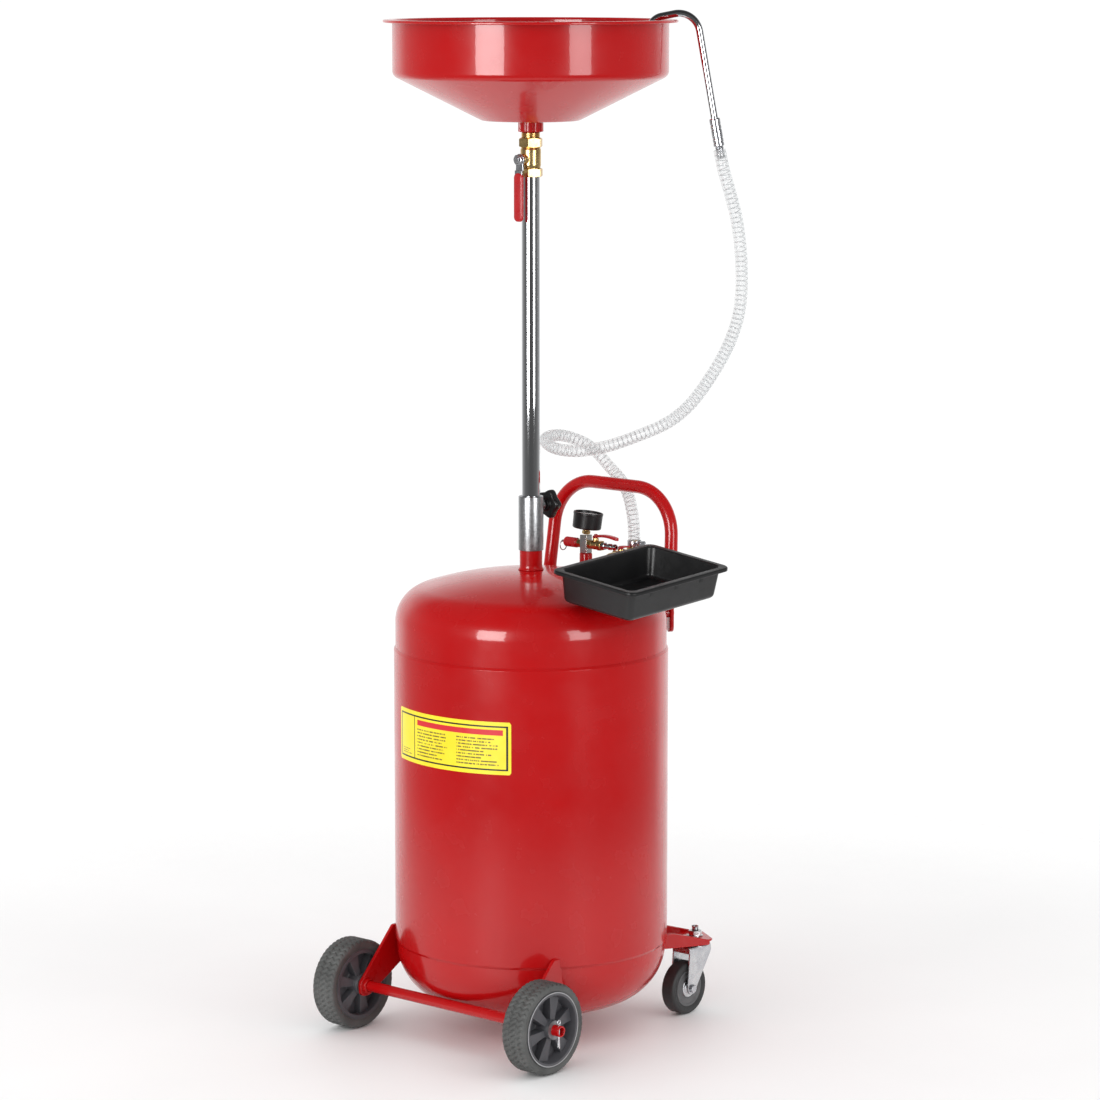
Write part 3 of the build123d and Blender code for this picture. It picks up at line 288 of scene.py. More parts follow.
def noise(tree, scale, detail=3.0, stretch=(1, 1, 1), rough=0.5):
    """A noise over the piece's own coordinates; scale counts features per metre."""
    where = add_node(tree, "TexCoord").outputs["Object"]
    mapped = add_node(tree, "Mapping", {"Vector": where, "Scale": stretch}).outputs["Vector"]
    values = {"Vector": mapped, "Scale": scale, "Detail": detail, "Roughness": rough}
    return add_node(tree, "TexNoise", values).outputs["Fac"]


def between(tree, factor, low, high, start=0.3, end=0.7):
    """Map a texture's middle range onto two values."""
    values = {"Value": factor, "From Min": start, "From Max": end, "To Min": low, "To Max": high}
    return add_node(tree, "MapRange", values).outputs["Result"]


def tones(tree, factor, dark, light, start=0.35, end=0.65):
    """Mix two colours by a texture."""
    ramp = add_node(tree, "ValToRGB", {"Fac": factor})
    first, last = ramp.color_ramp.elements
    first.position, first.color = start, (*dark, 1)
    last.position, last.color = end, (*light, 1)
    return ramp.outputs["Color"]


def bump(tree, shader, height, strength, depth, below=None):
    """Relief on a surface, on top of any relief below it."""
    values = {"Height": height, "Strength": strength, "Distance": depth}
    if below is not None:
        values["Normal"] = below
    normal = add_node(tree, "Bump", values).outputs["Normal"]
    tree.links.new(normal, shader.inputs["Normal"])
    return normal


def finish(name, dark, light, roughness, metallic=0.0, blotch=8.0, grain=(300, 0.05, 0.0003), **more):
    """The common finish: two close tones in soft blotches, uneven gloss and a fine surface grain."""
    sockets = {"Metallic": metallic}
    sockets.update(more.get("sockets", {}))
    made, tree, shader = new_material(name, sockets)
    stretch = more.get("stretch", (1, 1, 1))
    patches = noise(tree, blotch, 4.0, stretch)
    tree.links.new(tones(tree, patches, dark, light), shader.inputs["Base Color"])
    wear = noise(tree, blotch * 3.7, 5.0, stretch, 0.6)
    tree.links.new(between(tree, wear, *roughness), shader.inputs["Roughness"])
    scale, strength, depth = grain
    bump(tree, shader, noise(tree, scale, 2.0, stretch), strength, depth)
    return made


def gloss_paint():
    """Red enamel: a clear glossy coat over the colour, with the faint ripple of sprayed paint."""
    coat = {"Coat Weight": 0.5, "Coat Roughness": 0.04, "Specular IOR Level": 0.22}
    made, tree, shader = new_material("red_paint", coat)
    patches = noise(tree, 5.0, 4.0)
    base = tones(tree, patches, (0.42, 0.002, 0.003), (0.46, 0.003, 0.004))
    tree.links.new(base, shader.inputs["Base Color"])
    tree.links.new(between(tree, noise(tree, 22, 5.0), 0.20, 0.30), shader.inputs["Roughness"])
    ripple = bump(tree, shader, noise(tree, 90, 2.0), 0.035, 0.001)
    fine = bump(tree, shader, noise(tree, 620, 2.0), 0.03, 0.0003, ripple)
    tree.links.new(fine, shader.inputs["Coat Normal"])
    return made


def spangled_zinc():
    """Galvanised steel: crystals of slightly different greys, each with its own gloss."""
    made, tree, shader = new_material("galvanised", {"Metallic": 1.0})
    where = add_node(tree, "TexCoord").outputs["Object"]
    cells = add_node(tree, "TexVoronoi", {"Vector": where, "Scale": 520.0, "Randomness": 1.0})
    grey = add_node(tree, "RGBToBW", {"Color": cells.outputs["Color"]}).outputs["Val"]
    colour = tones(tree, grey, (0.38, 0.39, 0.40), (0.52, 0.53, 0.54), 0.1, 0.9)
    tree.links.new(colour, shader.inputs["Base Color"])
    tree.links.new(between(tree, grey, 0.28, 0.38, 0.0, 1.0), shader.inputs["Roughness"])
    bump(tree, shader, noise(tree, 1400, 3.0), 0.06, 0.0002)
    return made


def sticker_print():
    """A yellow sticker: black frame, a column on the left, a red bar and rows of unreadable dashes."""
    made, tree, shader = new_material("label_print", {"Coat Weight": 0.5, "Coat Roughness": 0.08})
    place = add_node(tree, "TexCoord").outputs["UV"]
    split = add_node(tree, "SeparateXYZ", {"Vector": place})
    across, up = split.outputs["X"], split.outputs["Y"]

    def math_node(operation, first, second=0.0, third=0.0):
        made_node = add_node(tree, "Math", operation=operation)
        for socket, value in zip(made_node.inputs, (first, second, third)):
            if isinstance(value, bpy.types.NodeSocket):
                tree.links.new(value, socket)
            else:
                socket.default_value = value
        return made_node.outputs[0]

    def within(value, low, high):
        return math_node("COMPARE", value, (low + high) / 2, (high - low) / 2)

    def box(left, right, low, high):
        return math_node("MULTIPLY", within(across, left, right), within(up, low, high))

    def rows(left, right, low, high, count, seed):
        row = math_node("MULTIPLY", math_node("SUBTRACT", up, low), count / (high - low))
        line = within(math_node("FRACT", row), 0.28, 0.72)
        values = {"X": math_node("MULTIPLY", across, 150.0), "Y": math_node("FLOOR", row), "Z": seed}
        spot = add_node(tree, "CombineXYZ", values).outputs["Vector"]
        word = add_node(tree, "TexNoise", {"Vector": spot, "Scale": 0.9, "Detail": 2.0})
        dash = math_node("GREATER_THAN", word.outputs["Fac"], 0.44)
        end = {"X": 3.7, "Y": math_node("FLOOR", row), "Z": seed + 9.0}
        seat = add_node(tree, "CombineXYZ", end).outputs["Vector"]
        ragged = add_node(tree, "TexWhiteNoise", {"Vector": seat})
        stop = math_node("MULTIPLY_ADD", ragged.outputs["Value"], -0.45 * (right - left), right)
        inside = math_node("LESS_THAN", across, stop)
        words = math_node("MULTIPLY", line, dash)
        return math_node("MULTIPLY", words, math_node("MULTIPLY", inside, box(left, right, low, high)))

    def over(below, colour, mask):
        mixed = add_node(tree, "Mix", data_type="RGBA")
        tree.links.new(mask, mixed.inputs[0])
        tree.links.new(below, mixed.inputs[6])
        mixed.inputs[7].default_value = (*colour, 1)
        return mixed.outputs[2]

    black, red, ink = (0.012, 0.012, 0.010), (0.68, 0.012, 0.02), (0.20, 0.15, 0.02)
    colour = tones(tree, noise(tree, 30, 3.0), (0.93, 0.74, 0.012), (0.96, 0.80, 0.02))
    border_outside, border_inside = box(0.020, 0.980, 0.075, 0.925), box(0.030, 0.966, 0.105, 0.895)
    colour = over(colour, black, math_node("SUBTRACT", border_outside, border_inside))
    colour = over(colour, black, box(0.208, 0.216, 0.09, 0.91))
    colour = over(colour, red, box(0.245, 0.945, 0.745, 0.85))
    colour = over(colour, ink, rows(0.245, 0.565, 0.15, 0.70, 9.0, 2.0))
    colour = over(colour, ink, rows(0.610, 0.940, 0.15, 0.70, 9.0, 5.0))
    colour = over(colour, ink, rows(0.050, 0.190, 0.14, 0.26, 3.0, 8.0))
    tree.links.new(colour, shader.inputs["Base Color"])
    tree.links.new(between(tree, noise(tree, 60, 4.0), 0.30, 0.42), shader.inputs["Roughness"])
    bump(tree, shader, noise(tree, 200, 3.0), 0.06, 0.0004)
    return made


def clear_vinyl():
    """Clear hose: see-through when faced, milky where the wall is seen along its thickness."""
    made, tree, shader = new_material("clear_hose", {"IOR": 1.45, "Specular IOR Level": 0.6})
    colour = tones(tree, noise(tree, 14, 3.0), (0.70, 0.73, 0.74), (0.82, 0.84, 0.84))
    tree.links.new(colour, shader.inputs["Base Color"])
    tree.links.new(between(tree, noise(tree, 60, 3.0), 0.10, 0.2), shader.inputs["Roughness"])
    facing = add_node(tree, "LayerWeight", {"Blend": 0.45}).outputs["Facing"]
    tree.links.new(between(tree, facing, 0.10, 0.50, 0.0, 1.0), shader.inputs["Alpha"])
    bump(tree, shader, noise(tree, 160, 2.0), 0.10, 0.0006)
    return made


def clear_glass():
    """The gauge's plastic lens."""
    made, tree, shader = new_material("clear_lens", {"IOR": 1.49})
    shader.inputs["Base Color"].default_value = (0.95, 0.96, 0.96, 1)
    tree.links.new(between(tree, noise(tree, 90, 3.0), 0.03, 0.07), shader.inputs["Roughness"])
    facing = add_node(tree, "LayerWeight", {"Blend": 0.35}).outputs["Facing"]
    tree.links.new(between(tree, facing, 0.08, 0.55, 0.0, 1.0), shader.inputs["Alpha"])
    bump(tree, shader, noise(tree, 300, 2.0), 0.02, 0.0002)
    return made


# dark tone, light tone, roughness, metallic, blotches per metre, (grains per metre, strength, depth)
PLAIN_LOOKS = {
    "zinc": ((0.56, 0.57, 0.60), (0.70, 0.71, 0.72), (0.20, 0.34), 1.0, 60.0, (900, 0.12, 0.0002)),
    "brass": ((0.60, 0.40, 0.16), (0.76, 0.54, 0.24), (0.20, 0.34), 1.0, 70.0, (900, 0.12, 0.0002)),
    "bright_block": ((0.62, 0.62, 0.62), (0.76, 0.75, 0.73), (0.16, 0.28), 1.0, 80.0, (700, 0.10, 0.0002)),
    "black_plastic": (
        (0.006, 0.006, 0.0065), (0.010, 0.010, 0.011), (0.30, 0.42), 0.0, 16.0, (900, 0.22, 0.0003)
    ),
    "grey_plastic": (
        (0.060, 0.060, 0.068), (0.085, 0.085, 0.094), (0.34, 0.48), 0.0, 20.0, (1100, 0.25, 0.0003)
    ),
    "tyre_grey": ((0.062, 0.064, 0.062), (0.100, 0.103, 0.100), (0.52, 0.72), 0.0, 26.0, (700, 0.35, 0.0005)),
    "caster_rubber": (
        (0.020, 0.020, 0.021), (0.036, 0.036, 0.037), (0.45, 0.62), 0.0, 30.0, (800, 0.3, 0.0004)
    ),
    "gauge_white": ((0.82, 0.82, 0.80), (0.88, 0.88, 0.86), (0.35, 0.45), 0.0, 50.0, (500, 0.05, 0.0002)),
    "dark_ink": ((0.008, 0.008, 0.009), (0.014, 0.014, 0.015), (0.35, 0.5), 0.0, 60.0, (300, 0.05, 0.0003)),
    "spring_steel": ((0.20, 0.21, 0.22), (0.34, 0.35, 0.36), (0.28, 0.42), 0.8, 60.0, (900, 0.1, 0.0002)),
    # a light grey for the rims' lips: painted highlight, the bright line that light draws along the lip edge
    "lip_painted_highlight": ((0.30, 0.30, 0.31), (0.40, 0.40, 0.41), (0.25, 0.38), 0.0, 60.0, (900, 0.1, 0.0002)),
    "white_wire": ((0.58, 0.59, 0.60), (0.70, 0.71, 0.72), (0.25, 0.40), 0.2, 60.0, (900, 0.1, 0.0002)),
    "grey_rubber": ((0.085, 0.085, 0.088), (0.12, 0.12, 0.124), (0.40, 0.55), 0.0, 40.0, (800, 0.2, 0.0003)),
}
looks = {name: finish(name, *values) for name, values in PLAIN_LOOKS.items()}
looks["red_paint"] = gloss_paint()
looks["galvanised"] = spangled_zinc()
looks["label_print"] = sticker_print()
looks["clear_hose"] = clear_vinyl()
looks["clear_lens"] = clear_glass()
looks["chrome_tube"] = finish(
    "chrome_tube", (0.66, 0.67, 0.69), (0.76, 0.77, 0.78), (0.04, 0.10), 1.0, 10.0, (500, 0.03, 0.0002),
    stretch=(1, 1, 0.15),
)
looks["red_vinyl"] = finish(
    "red_vinyl", (0.40, 0.004, 0.008), (0.50, 0.008, 0.012), (0.22, 0.36), 0.0, 40.0, (800, 0.12, 0.0003),
    sockets={"Coat Weight": 0.25, "Coat Roughness": 0.12},
)
for node_name, made_node in frame["nodes"].items():
    made_node.data.materials.clear()
    made_node.data.materials.append(looks[node_slots[node_name]])

frame["nodes"]["axle_washers"].data.materials[0] = looks["spring_steel"]
paint, chrome, zinc = looks["red_paint"], looks["chrome_tube"], looks["zinc"]
brass, black, vinyl = looks["brass"], looks["black_plastic"], looks["red_vinyl"]
grey, ink = looks["grey_plastic"], looks["dark_ink"]

# ---- camera -------------------------------------------------------------------------------------
CAMERA_AZIMUTH = 41.3
CAMERA_REACH = 5.327
CAMERA_HEIGHT = 1.4866
CAMERA_SIDE = 0.0262
CAMERA_PITCH = 8.70
SENSOR = 36
FOCAL_SHARE = 3905 / 1100

heading = math.radians(CAMERA_AZIMUTH)
sideways = Vector((math.cos(heading), math.sin(heading), 0))
away = Vector((-math.sin(heading), math.cos(heading), 0))
camera_data = bpy.data.cameras.new("Camera")
camera_data.sensor_width = SENSOR
camera_data.lens = SENSOR * FOCAL_SHARE
camera = bpy.data.objects.new("Camera", camera_data)
camera.location = sideways * CAMERA_SIDE - away * CAMERA_REACH + Vector((0, 0, CAMERA_HEIGHT))
pitch = math.radians(CAMERA_PITCH)
gaze = away * math.cos(pitch) - Vector((0, 0, 1)) * math.sin(pitch)
camera.rotation_mode = "QUATERNION"
camera.rotation_quaternion = gaze.to_track_quat("-Z", "Y")
bpy.context.scene.collection.objects.link(camera)
bpy.context.scene.camera = camera

# ---- suction hose -------------------------------------------------------------------------------
HOSE_DIAMETER = 0.0175
HOSE_BORE = 0.0125
HELIX_RADIUS = 0.0076
HELIX_PITCH = 0.0068
HELIX_WIRE = 0.00055
hose_route = [
    (0.1929, 0.1695, 1.2216),
    (0.1961, 0.1723, 1.198),
    (0.203, 0.179, 1.166),
    (0.209, 0.189, 1.126),
    (0.210, 0.197, 1.078),
    (0.207, 0.203, 1.028),
    (0.198, 0.206, 0.988),
    (0.182, 0.205, 0.950),
    (0.160, 0.201, 0.913),
    (0.127, 0.194, 0.867),
    (0.090, 0.186, 0.837),
    (0.050, 0.166, 0.818),
    (0.018, 0.149, 0.804),
    (-0.006, 0.133, 0.798),
    (-0.022, 0.122, 0.795),
    (-0.054, 0.113, 0.796),
    (-0.086, 0.125, 0.803),
    (-0.104, 0.153, 0.808),
    (-0.103, 0.187, 0.806),
    (-0.082, 0.213, 0.793),
    (-0.065, 0.220, 0.778),
    (-0.049, 0.223, 0.762),
    (-0.034, 0.223, 0.751),
    (-0.018, 0.220, 0.740),
    (-0.004, 0.215, 0.721),
    (0.008, 0.209, 0.697),
    (0.013, 0.206, 0.674),
    (0.013, 0.206, 0.654),
]


def spline_points(route):
    """Points along the smooth line that a route of control points gives."""
    data = bpy.data.curves.new("hose_line", "CURVE")
    data.dimensions = "3D"
    data.resolution_u = 14
    line = data.splines.new("NURBS")
    line.points.add(len(route) - 1)
    for point, place in zip(line.points, route):
        point.co = (*place, 1)
    line.order_u = 3
    line.use_endpoint_u = True
    holder = bpy.data.objects.new("hose_line", data)
    mesh = bpy.data.meshes.new_from_object(holder)
    points = [vertex.co.copy() for vertex in mesh.vertices]
    bpy.data.objects.remove(holder)
    bpy.data.meshes.remove(mesh)
    return points


def helix_about(line, radius, pitch_length, per_turn=18):
    """A helix round a line, worked out along its length."""
    frames = path_frames(line)
    lengths = [0.0]
    for before, after in zip(line, line[1:]):
        lengths.append(lengths[-1] + (after - before).length)
    count = int(lengths[-1] / pitch_length * per_turn)
    made, at_span = [], 0
    for step in range(count + 1):
        gone = lengths[-1] * step / count
        while at_span < len(line) - 2 and lengths[at_span + 1] < gone:
            at_span += 1
        share = (gone - lengths[at_span]) / (lengths[at_span + 1] - lengths[at_span])
        centre = line[at_span].lerp(line[at_span + 1], share)
        side = frames[at_span][1].lerp(frames[at_span + 1][1], share).normalized()
        other = frames[at_span][2].lerp(frames[at_span + 1][2], share).normalized()
        angle = WHOLE * step / per_turn
        made.append(centre + (side * math.cos(angle) + other * math.sin(angle)) * radius)
    return made


def in_mm(points):
    """Metres to millimetres."""
    return [point / MM for point in points]


hose_line = spline_points(hose_route)
bm = bmesh.new()
pipe(bm, in_mm(hose_line), HOSE_DIAMETER / 2 / MM, 28, HOSE_BORE / 2 / MM)
hose = piece("clear_suction_hose", bm, None, looks["clear_hose"], ["suction_hose"])
bm = bmesh.new()
pipe(bm, in_mm(helix_about(hose_line, HELIX_RADIUS, HELIX_PITCH)), HELIX_WIRE / MM, 6)
helix = piece("hose_wire_helix", bm, None, looks["white_wire"])
for part in (hose, helix):
    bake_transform(part)

# ---- tank ---------------------------------------------------------------------------------------
TOP_KNUCKLE = 50.0
TOP_FLAT = 34.5
BOTTOM_KNUCKLE = 78.0
BOTTOM_FLAT = 6.0
HEAD_WALL = 2.0
MAST_HOLE = 16.0
SEAM_DROP = 3.6
LIP_ROUND = 0.7
KNUCKLE_STEPS = 14
CROWN_STEPS = 24
SHEET_TURNS = 240
WELD_RADIUS = 1.8
shell_low, shell_high, _ = extent("tank_shell")
head_low, head_high, _ = extent("tank_top_head")
base_low, base_high, _ = extent("tank_bottom_head")
tank_radius, head_radius = shell_high.x, head_high.x
top_knuckle_z = shell_high.z + TOP_FLAT
bottom_knuckle_z = shell_low.z - BOTTOM_FLAT


def dish(knuckle, knuckle_z, crown_z):
    """A head's side, its knuckle's and crown's centres, the crown's radius and the angle where they meet."""
    side = math.copysign(1.0, crown_z - knuckle_z)
    centre_r = head_radius - knuckle
    height = abs(crown_z - knuckle_z)
    rise = height - knuckle
    drop = (centre_r**2 - rise**2) / (2 * rise)
    return side, centre_r, knuckle_z - side * drop, height + drop, math.atan2(drop, centre_r)


def dish_outline(knuckle, knuckle_z, crown_z, inset, hole):
    """Points over a head from its knuckle to the edge of its hole, at a depth into its metal."""
    side, centre_r, centre_z, crown, meeting = dish(knuckle, knuckle_z, crown_z)
    points = []
    arm = knuckle - inset
    for step in range(KNUCKLE_STEPS + 1):
        angle = meeting * step / KNUCKLE_STEPS
        points.append((centre_r + arm * math.cos(angle), knuckle_z + side * arm * math.sin(angle)))
    arm = crown - inset
    last = math.acos(min(1.0, hole / arm))
    for step in range(1, CROWN_STEPS + 1):
        angle = meeting + (last - meeting) * step / CROWN_STEPS
        points.append((arm * math.cos(angle), centre_z + side * arm * math.sin(angle)))
    return points


def top_height(x, y):
    """Height of the tank's top at a place seen from above."""
    side, centre_r, centre_z, crown, meeting = dish(TOP_KNUCKLE, top_knuckle_z, head_high.z)
    r = math.hypot(x, y)
    if r > centre_r + TOP_KNUCKLE * math.cos(meeting):
        return top_knuckle_z + math.sqrt(max(0.0, TOP_KNUCKLE**2 - (r - centre_r) ** 2))
    return centre_z + math.sqrt(crown**2 - r**2)


def weld(name, path):
    """A painted weld bead round a closed path, with the small scales of its puddles."""

    def scaled(share):
        return WELD_RADIUS * (1 + 0.10 * math.sin(share * len(path) * 2.1))

    bm = bmesh.new()
    pipe(bm, path, scaled, 10, 0.0, True)
    piece(name, bm, "tank", paint)


def head(name, node, knuckle, knuckle_z, crown_z, edge_z, hole):
    """A dished head as a turned sheet, from its open edge to the edge of its hole."""
    bm = bmesh.new()
    outline = [(head_radius, edge_z)] + dish_outline(knuckle, knuckle_z, crown_z, 0, hole)
    outline += dish_outline(knuckle, knuckle_z, crown_z, HEAD_WALL, hole)[::-1]
    outline.append((head_radius - HEAD_WALL, edge_z))
    lathe(bm, outline, turns=SHEET_TURNS)
    piece(name, bm, "tank", paint, [node])


bm = bmesh.new()
wall_outside = rounded(
    [
        (head_radius + 0.15, shell_low.z), (tank_radius, shell_low.z + SEAM_DROP),
        (tank_radius, shell_high.z - SEAM_DROP), (head_radius + 0.15, shell_high.z),
    ],
    [0, LIP_ROUND, LIP_ROUND, 0], False,
)
wall_bore = tank_radius - HEAD_WALL
wall_inside = [(wall_bore, shell_high.z - SEAM_DROP + 0.1), (wall_bore, shell_low.z + SEAM_DROP - 0.1)]
lathe(bm, flat(wall_outside) + wall_inside, turns=SHEET_TURNS)
piece("tank_wall", bm, "tank", paint, ["tank_shell"])
head("tank_top", "tank_top_head", TOP_KNUCKLE, top_knuckle_z, head_high.z, head_low.z, MAST_HOLE)
head("tank_base", "tank_bottom_head", BOTTOM_KNUCKLE, bottom_knuckle_z, base_low.z, base_high.z, 0)

# The sticker is a thin sheet bent round the wall, with rounded corners.
LABEL_START = -118.0
LABEL_SWEEP = 61.5
LABEL_CORNER = 3.0
LABEL_LIFT = 0.02
LABEL_THICK = 0.25
LABEL_COLUMNS = 96
label_low, label_high, _ = extent("label")
label_height = label_high.z - label_low.z
label_sweep = math.radians(LABEL_SWEEP)
label_start = math.radians(LABEL_START)
label_length = label_sweep * tank_radius
loops = []
for i in range(LABEL_COLUMNS + 1):
    along = label_length * i / LABEL_COLUMNS
    gap = max(0.0, LABEL_CORNER - min(along, label_length - along))
    trim = LABEL_CORNER - math.sqrt(max(0.0, LABEL_CORNER**2 - gap**2))
    angle = label_start + along / tank_radius
    under = tank_radius + LABEL_LIFT
    over = under + LABEL_THICK
    low, high = label_low.z + trim, label_high.z - trim
    loops.append([
        Vector((reach * math.cos(angle), reach * math.sin(angle), z))
        for reach, z in ((under, low), (over, low), (over, high), (under, high))
    ])
bm = bmesh.new()
bridge(bm, loops)
uv = bm.loops.layers.uv.new("UVMap")
for face in bm.faces:
    for loop in face.loops:
        angle = math.atan2(loop.vert.co.y, loop.vert.co.x) - label_start
        loop[uv].uv = (angle / label_sweep, (loop.vert.co.z - label_low.z) / label_height)
piece("yellow_sticker", bm, "tank", looks["label_print"], ["label"])

# ---- mast socket, collar and clamp --------------------------------------------------------------
socket_low, socket_high, _ = extent("mast_socket")
collar_low, collar_high, _ = extent("mast_collar")
collar_radius = collar_high.x
guide_bore = 13.0
socket_radius = 15.75
weld_z = top_height(0, 0)
bm = bmesh.new()
outline = turned_corners(
    [
        (guide_bore, socket_low.z), (socket_radius, socket_low.z), (socket_radius, weld_z - 1),
        (socket_high.x, weld_z + 0.2), (socket_radius + 0.4, weld_z + 3.4), (socket_radius, weld_z + 6),
        (socket_radius, socket_high.z), (guide_bore, socket_high.z),
    ],
    [0, 0, 0, 1.0, 2.0, 2.0, 0, 0],
)
lathe(bm, outline, turns=96)
piece("mast_socket_tube", bm, "tank", paint, ["mast_socket"])

bm = bmesh.new()
outline = turned_corners(
    [
        (socket_radius + 0.05, collar_low.z), (collar_radius, collar_low.z), (collar_radius, collar_high.z),
        (guide_bore, collar_high.z), (guide_bore, socket_high.z + 0.5),
        (socket_radius + 0.05, socket_high.z + 0.5),
    ],
    [0.3, 0.5, 1.1, 0.5, 0, 0],
)
lathe(bm, outline, turns=96)
piece("collar_sleeve", bm, "tank", looks["galvanised"], ["mast_collar"])
knob_low, knob_high, knob_mid = extent("clamp_knob")
clamp_axis = at((0, 0, knob_mid.z), (0, 1, 0))
bm = bmesh.new()
hexagon(bm, 13.0, collar_radius - 1.2, collar_high.y, clamp_axis, 4.1)
piece("collar_nut", bm, "tank", zinc)
nut_ring = [clamp_axis @ Vector(p) for p in circle(7.6, 40)]
weld_path = [Vector((p.x, math.sqrt(collar_radius**2 - p.x**2) + 0.2, p.z)) for p in nut_ring]
bm = bmesh.new()
pipe(bm, weld_path, lambda share: 0.9 + 0.12 * math.sin(share * 75), 8, 0.0, True)
piece("collar_nut_weld", bm, "tank", zinc)

KNOB_LOBES = 5
knob_length = knob_high.y - knob_low.y
knob_reach = (knob_high.z - knob_low.z) / 2
knob_axis = at((0, knob_low.y, knob_mid.z), (0, 1, 0))


def lobed(angle, radius, height):
    """Draw the knob's rim in between its lobes."""
    share = smooth_step(radius, 9.5, 15.0)
    wave = 0.5 - 0.5 * math.cos(KNOB_LOBES * angle)
    return radius * (1 - 0.20 * share * wave**0.8), height


bm = bmesh.new()
outline = turned_corners(
    [
        (4.0, 0), (9.0, 0), (9.0, 4.6), (knob_reach, 5.6), (knob_reach, knob_length - 1.2),
        (9.5, knob_length), (8.6, knob_length - 1.6), (0, knob_length - 1.6), (0, knob_length - 4),
        (4.0, knob_length - 4),
    ],
    [0, 0.8, 1.5, 3.4, 3.8, 0.5, 0.4, 0, 0, 0], 6,
)
lathe(bm, outline, knob_axis, 160, lobed)
piece("lobed_knob", bm, "clamp_screw", black, ["clamp_knob"])

# ---- mast, pan and drain valve ------------------------------------------------------------------
mast_low, mast_high, _ = extent("mast_tube")
mast_radius = mast_high.x
bm = bmesh.new()
rod(bm, mast_radius, mast_low.z, mast_high.z, Matrix(), mast_radius - 1.5, 0.4, 128)
piece("chrome_mast", bm, "pan", chrome, ["mast_tube"])

PAN_FLOOR = 66.0
PAN_CORNER_DROP = 75.0
PAN_SHEET = 1.6
pan_low, pan_high, _ = extent("drain_pan")
rim_reach, rim_top = pan_high.x, pan_high.z - 0.2
pan_radius = rim_reach - 12.5
pan_corner_z = rim_top - PAN_CORNER_DROP
pan_floor_z = pan_low.z
pan_hole = 13.2
steepness = (pan_corner_z - pan_floor_z) / (pan_radius - PAN_FLOOR)
sheet_rise = math.hypot(1, steepness) * PAN_SHEET
bm = bmesh.new()
bowl = rounded(
    [
        (pan_hole, pan_floor_z), (PAN_FLOOR, pan_floor_z), (pan_radius, pan_corner_z),
        (pan_radius, rim_top - 1.9), (rim_reach - 3.0, rim_top - 1.9), (rim_reach - 2.6, rim_top - 3.8),
        (rim_reach, rim_top - 3.8), (rim_reach, rim_top + 0.2), (pan_radius - PAN_SHEET, rim_top + 0.2),
        (pan_radius - PAN_SHEET, pan_corner_z + sheet_rise - 1.0), (PAN_FLOOR, pan_floor_z + PAN_SHEET + 0.2),
        (pan_hole, pan_floor_z + PAN_SHEET),
    ],
    [0, 14, 11, 2.2, 0.6, 0.6, 1.6, 2.0, 3.6, 9.4, 11, 0],
    False, 9,
)
lathe(bm, flat(bowl), turns=SHEET_TURNS)
piece("pan_bowl", bm, "pan", paint, ["drain_pan"])

flute_low, flute_high, _ = extent("drain_socket")
flange_reach = flute_high.x
flute_radius = 17.3
FLUTES = 10


def fluted(angle, radius, height):
    """Cut the drain socket's flutes into its side below the flange."""
    if radius < flute_radius - 0.6 or height > pan_floor_z - 1.7:
        return radius, height
    wave = 0.5 + 0.5 * math.cos(FLUTES * angle)
    return radius - 1.5 * smooth_step(wave, 0.62, 0.94), height


bm = bmesh.new()
outline = turned_corners(
    [
        (8.0, flute_low.z + 10), (11.1, flute_low.z + 10), (11.1, flute_low.z), (flute_radius, flute_low.z),
        (flute_radius, pan_floor_z - 1.6), (flange_reach, pan_floor_z - 1.3), (flange_reach, pan_floor_z),
        (13.0, pan_floor_z), (13.0, pan_floor_z + PAN_SHEET), (flange_reach, pan_floor_z + PAN_SHEET),
        (flange_reach - 1, pan_floor_z + PAN_SHEET + 2.5), (8.0, pan_floor_z + PAN_SHEET + 1.5),
    ],
    [0, 0, 0.3, 1.0, 0.5, 0.4, 0.3, 0, 0, 0.3, 1.0, 0.3],
)
lathe(bm, outline, turns=200, shape=fluted)
piece("fluted_drain_nut", bm, "pan", paint, ["drain_socket"])

nipple_low, nipple_high, _ = extent("drain_nipple")
body_low, body_high, _ = extent("drain_valve_body")
thread_low, thread_high, thread_pitch = body_high.z, flute_low.z, 1.8
bm = bmesh.new()
outline = [(8.0, nipple_low.z), (11.0, nipple_low.z), (11.0, thread_low)]
for k in range(int((thread_high - thread_low) / thread_pitch)):
    base = thread_low + 0.2 + k * thread_pitch
    outline += [(12.0, base), (13.0, base + 0.6), (13.0, base + 0.9), (12.0, base + 1.6)]
outline += [(11.0, thread_high), (11.0, nipple_high.z), (8.0, nipple_high.z)]
lathe(bm, outline, turns=96)
piece("brass_nipple", bm, "pan", brass, ["drain_nipple"])

stem_z = extent("drain_lever_nut")[2].z
bm = bmesh.new()
hexagon(bm, 29.0, body_high.z - 13, body_high.z, Matrix(), 11.2)
outline = turned_corners(
    [
        (10.8, body_low.z + 12), (13.0, body_low.z + 11.6), (14.0, body_low.z + 16),
        (14.0, body_high.z - 16), (12.6, body_high.z - 12.6), (10.8, body_high.z - 12.6),
    ],
    [0, 0.5, 2.0, 2.0, 0.5, 0],
)
lathe(bm, outline, turns=96)
hexagon(bm, 29.5, body_low.z, body_low.z + 12, Matrix(), mast_radius + 0.05)
boss = at((0, 0, stem_z), (0, -1, 0))
outline = turned_corners([(4.1, 8), (7.5, 8), (7.5, 20), (4.1, 20)], [0, 0, 0.9, 0.3])
lathe(bm, outline, boss, 64)
piece("brass_valve_body", bm, "pan", brass, ["drain_valve_body"], sharp=24)

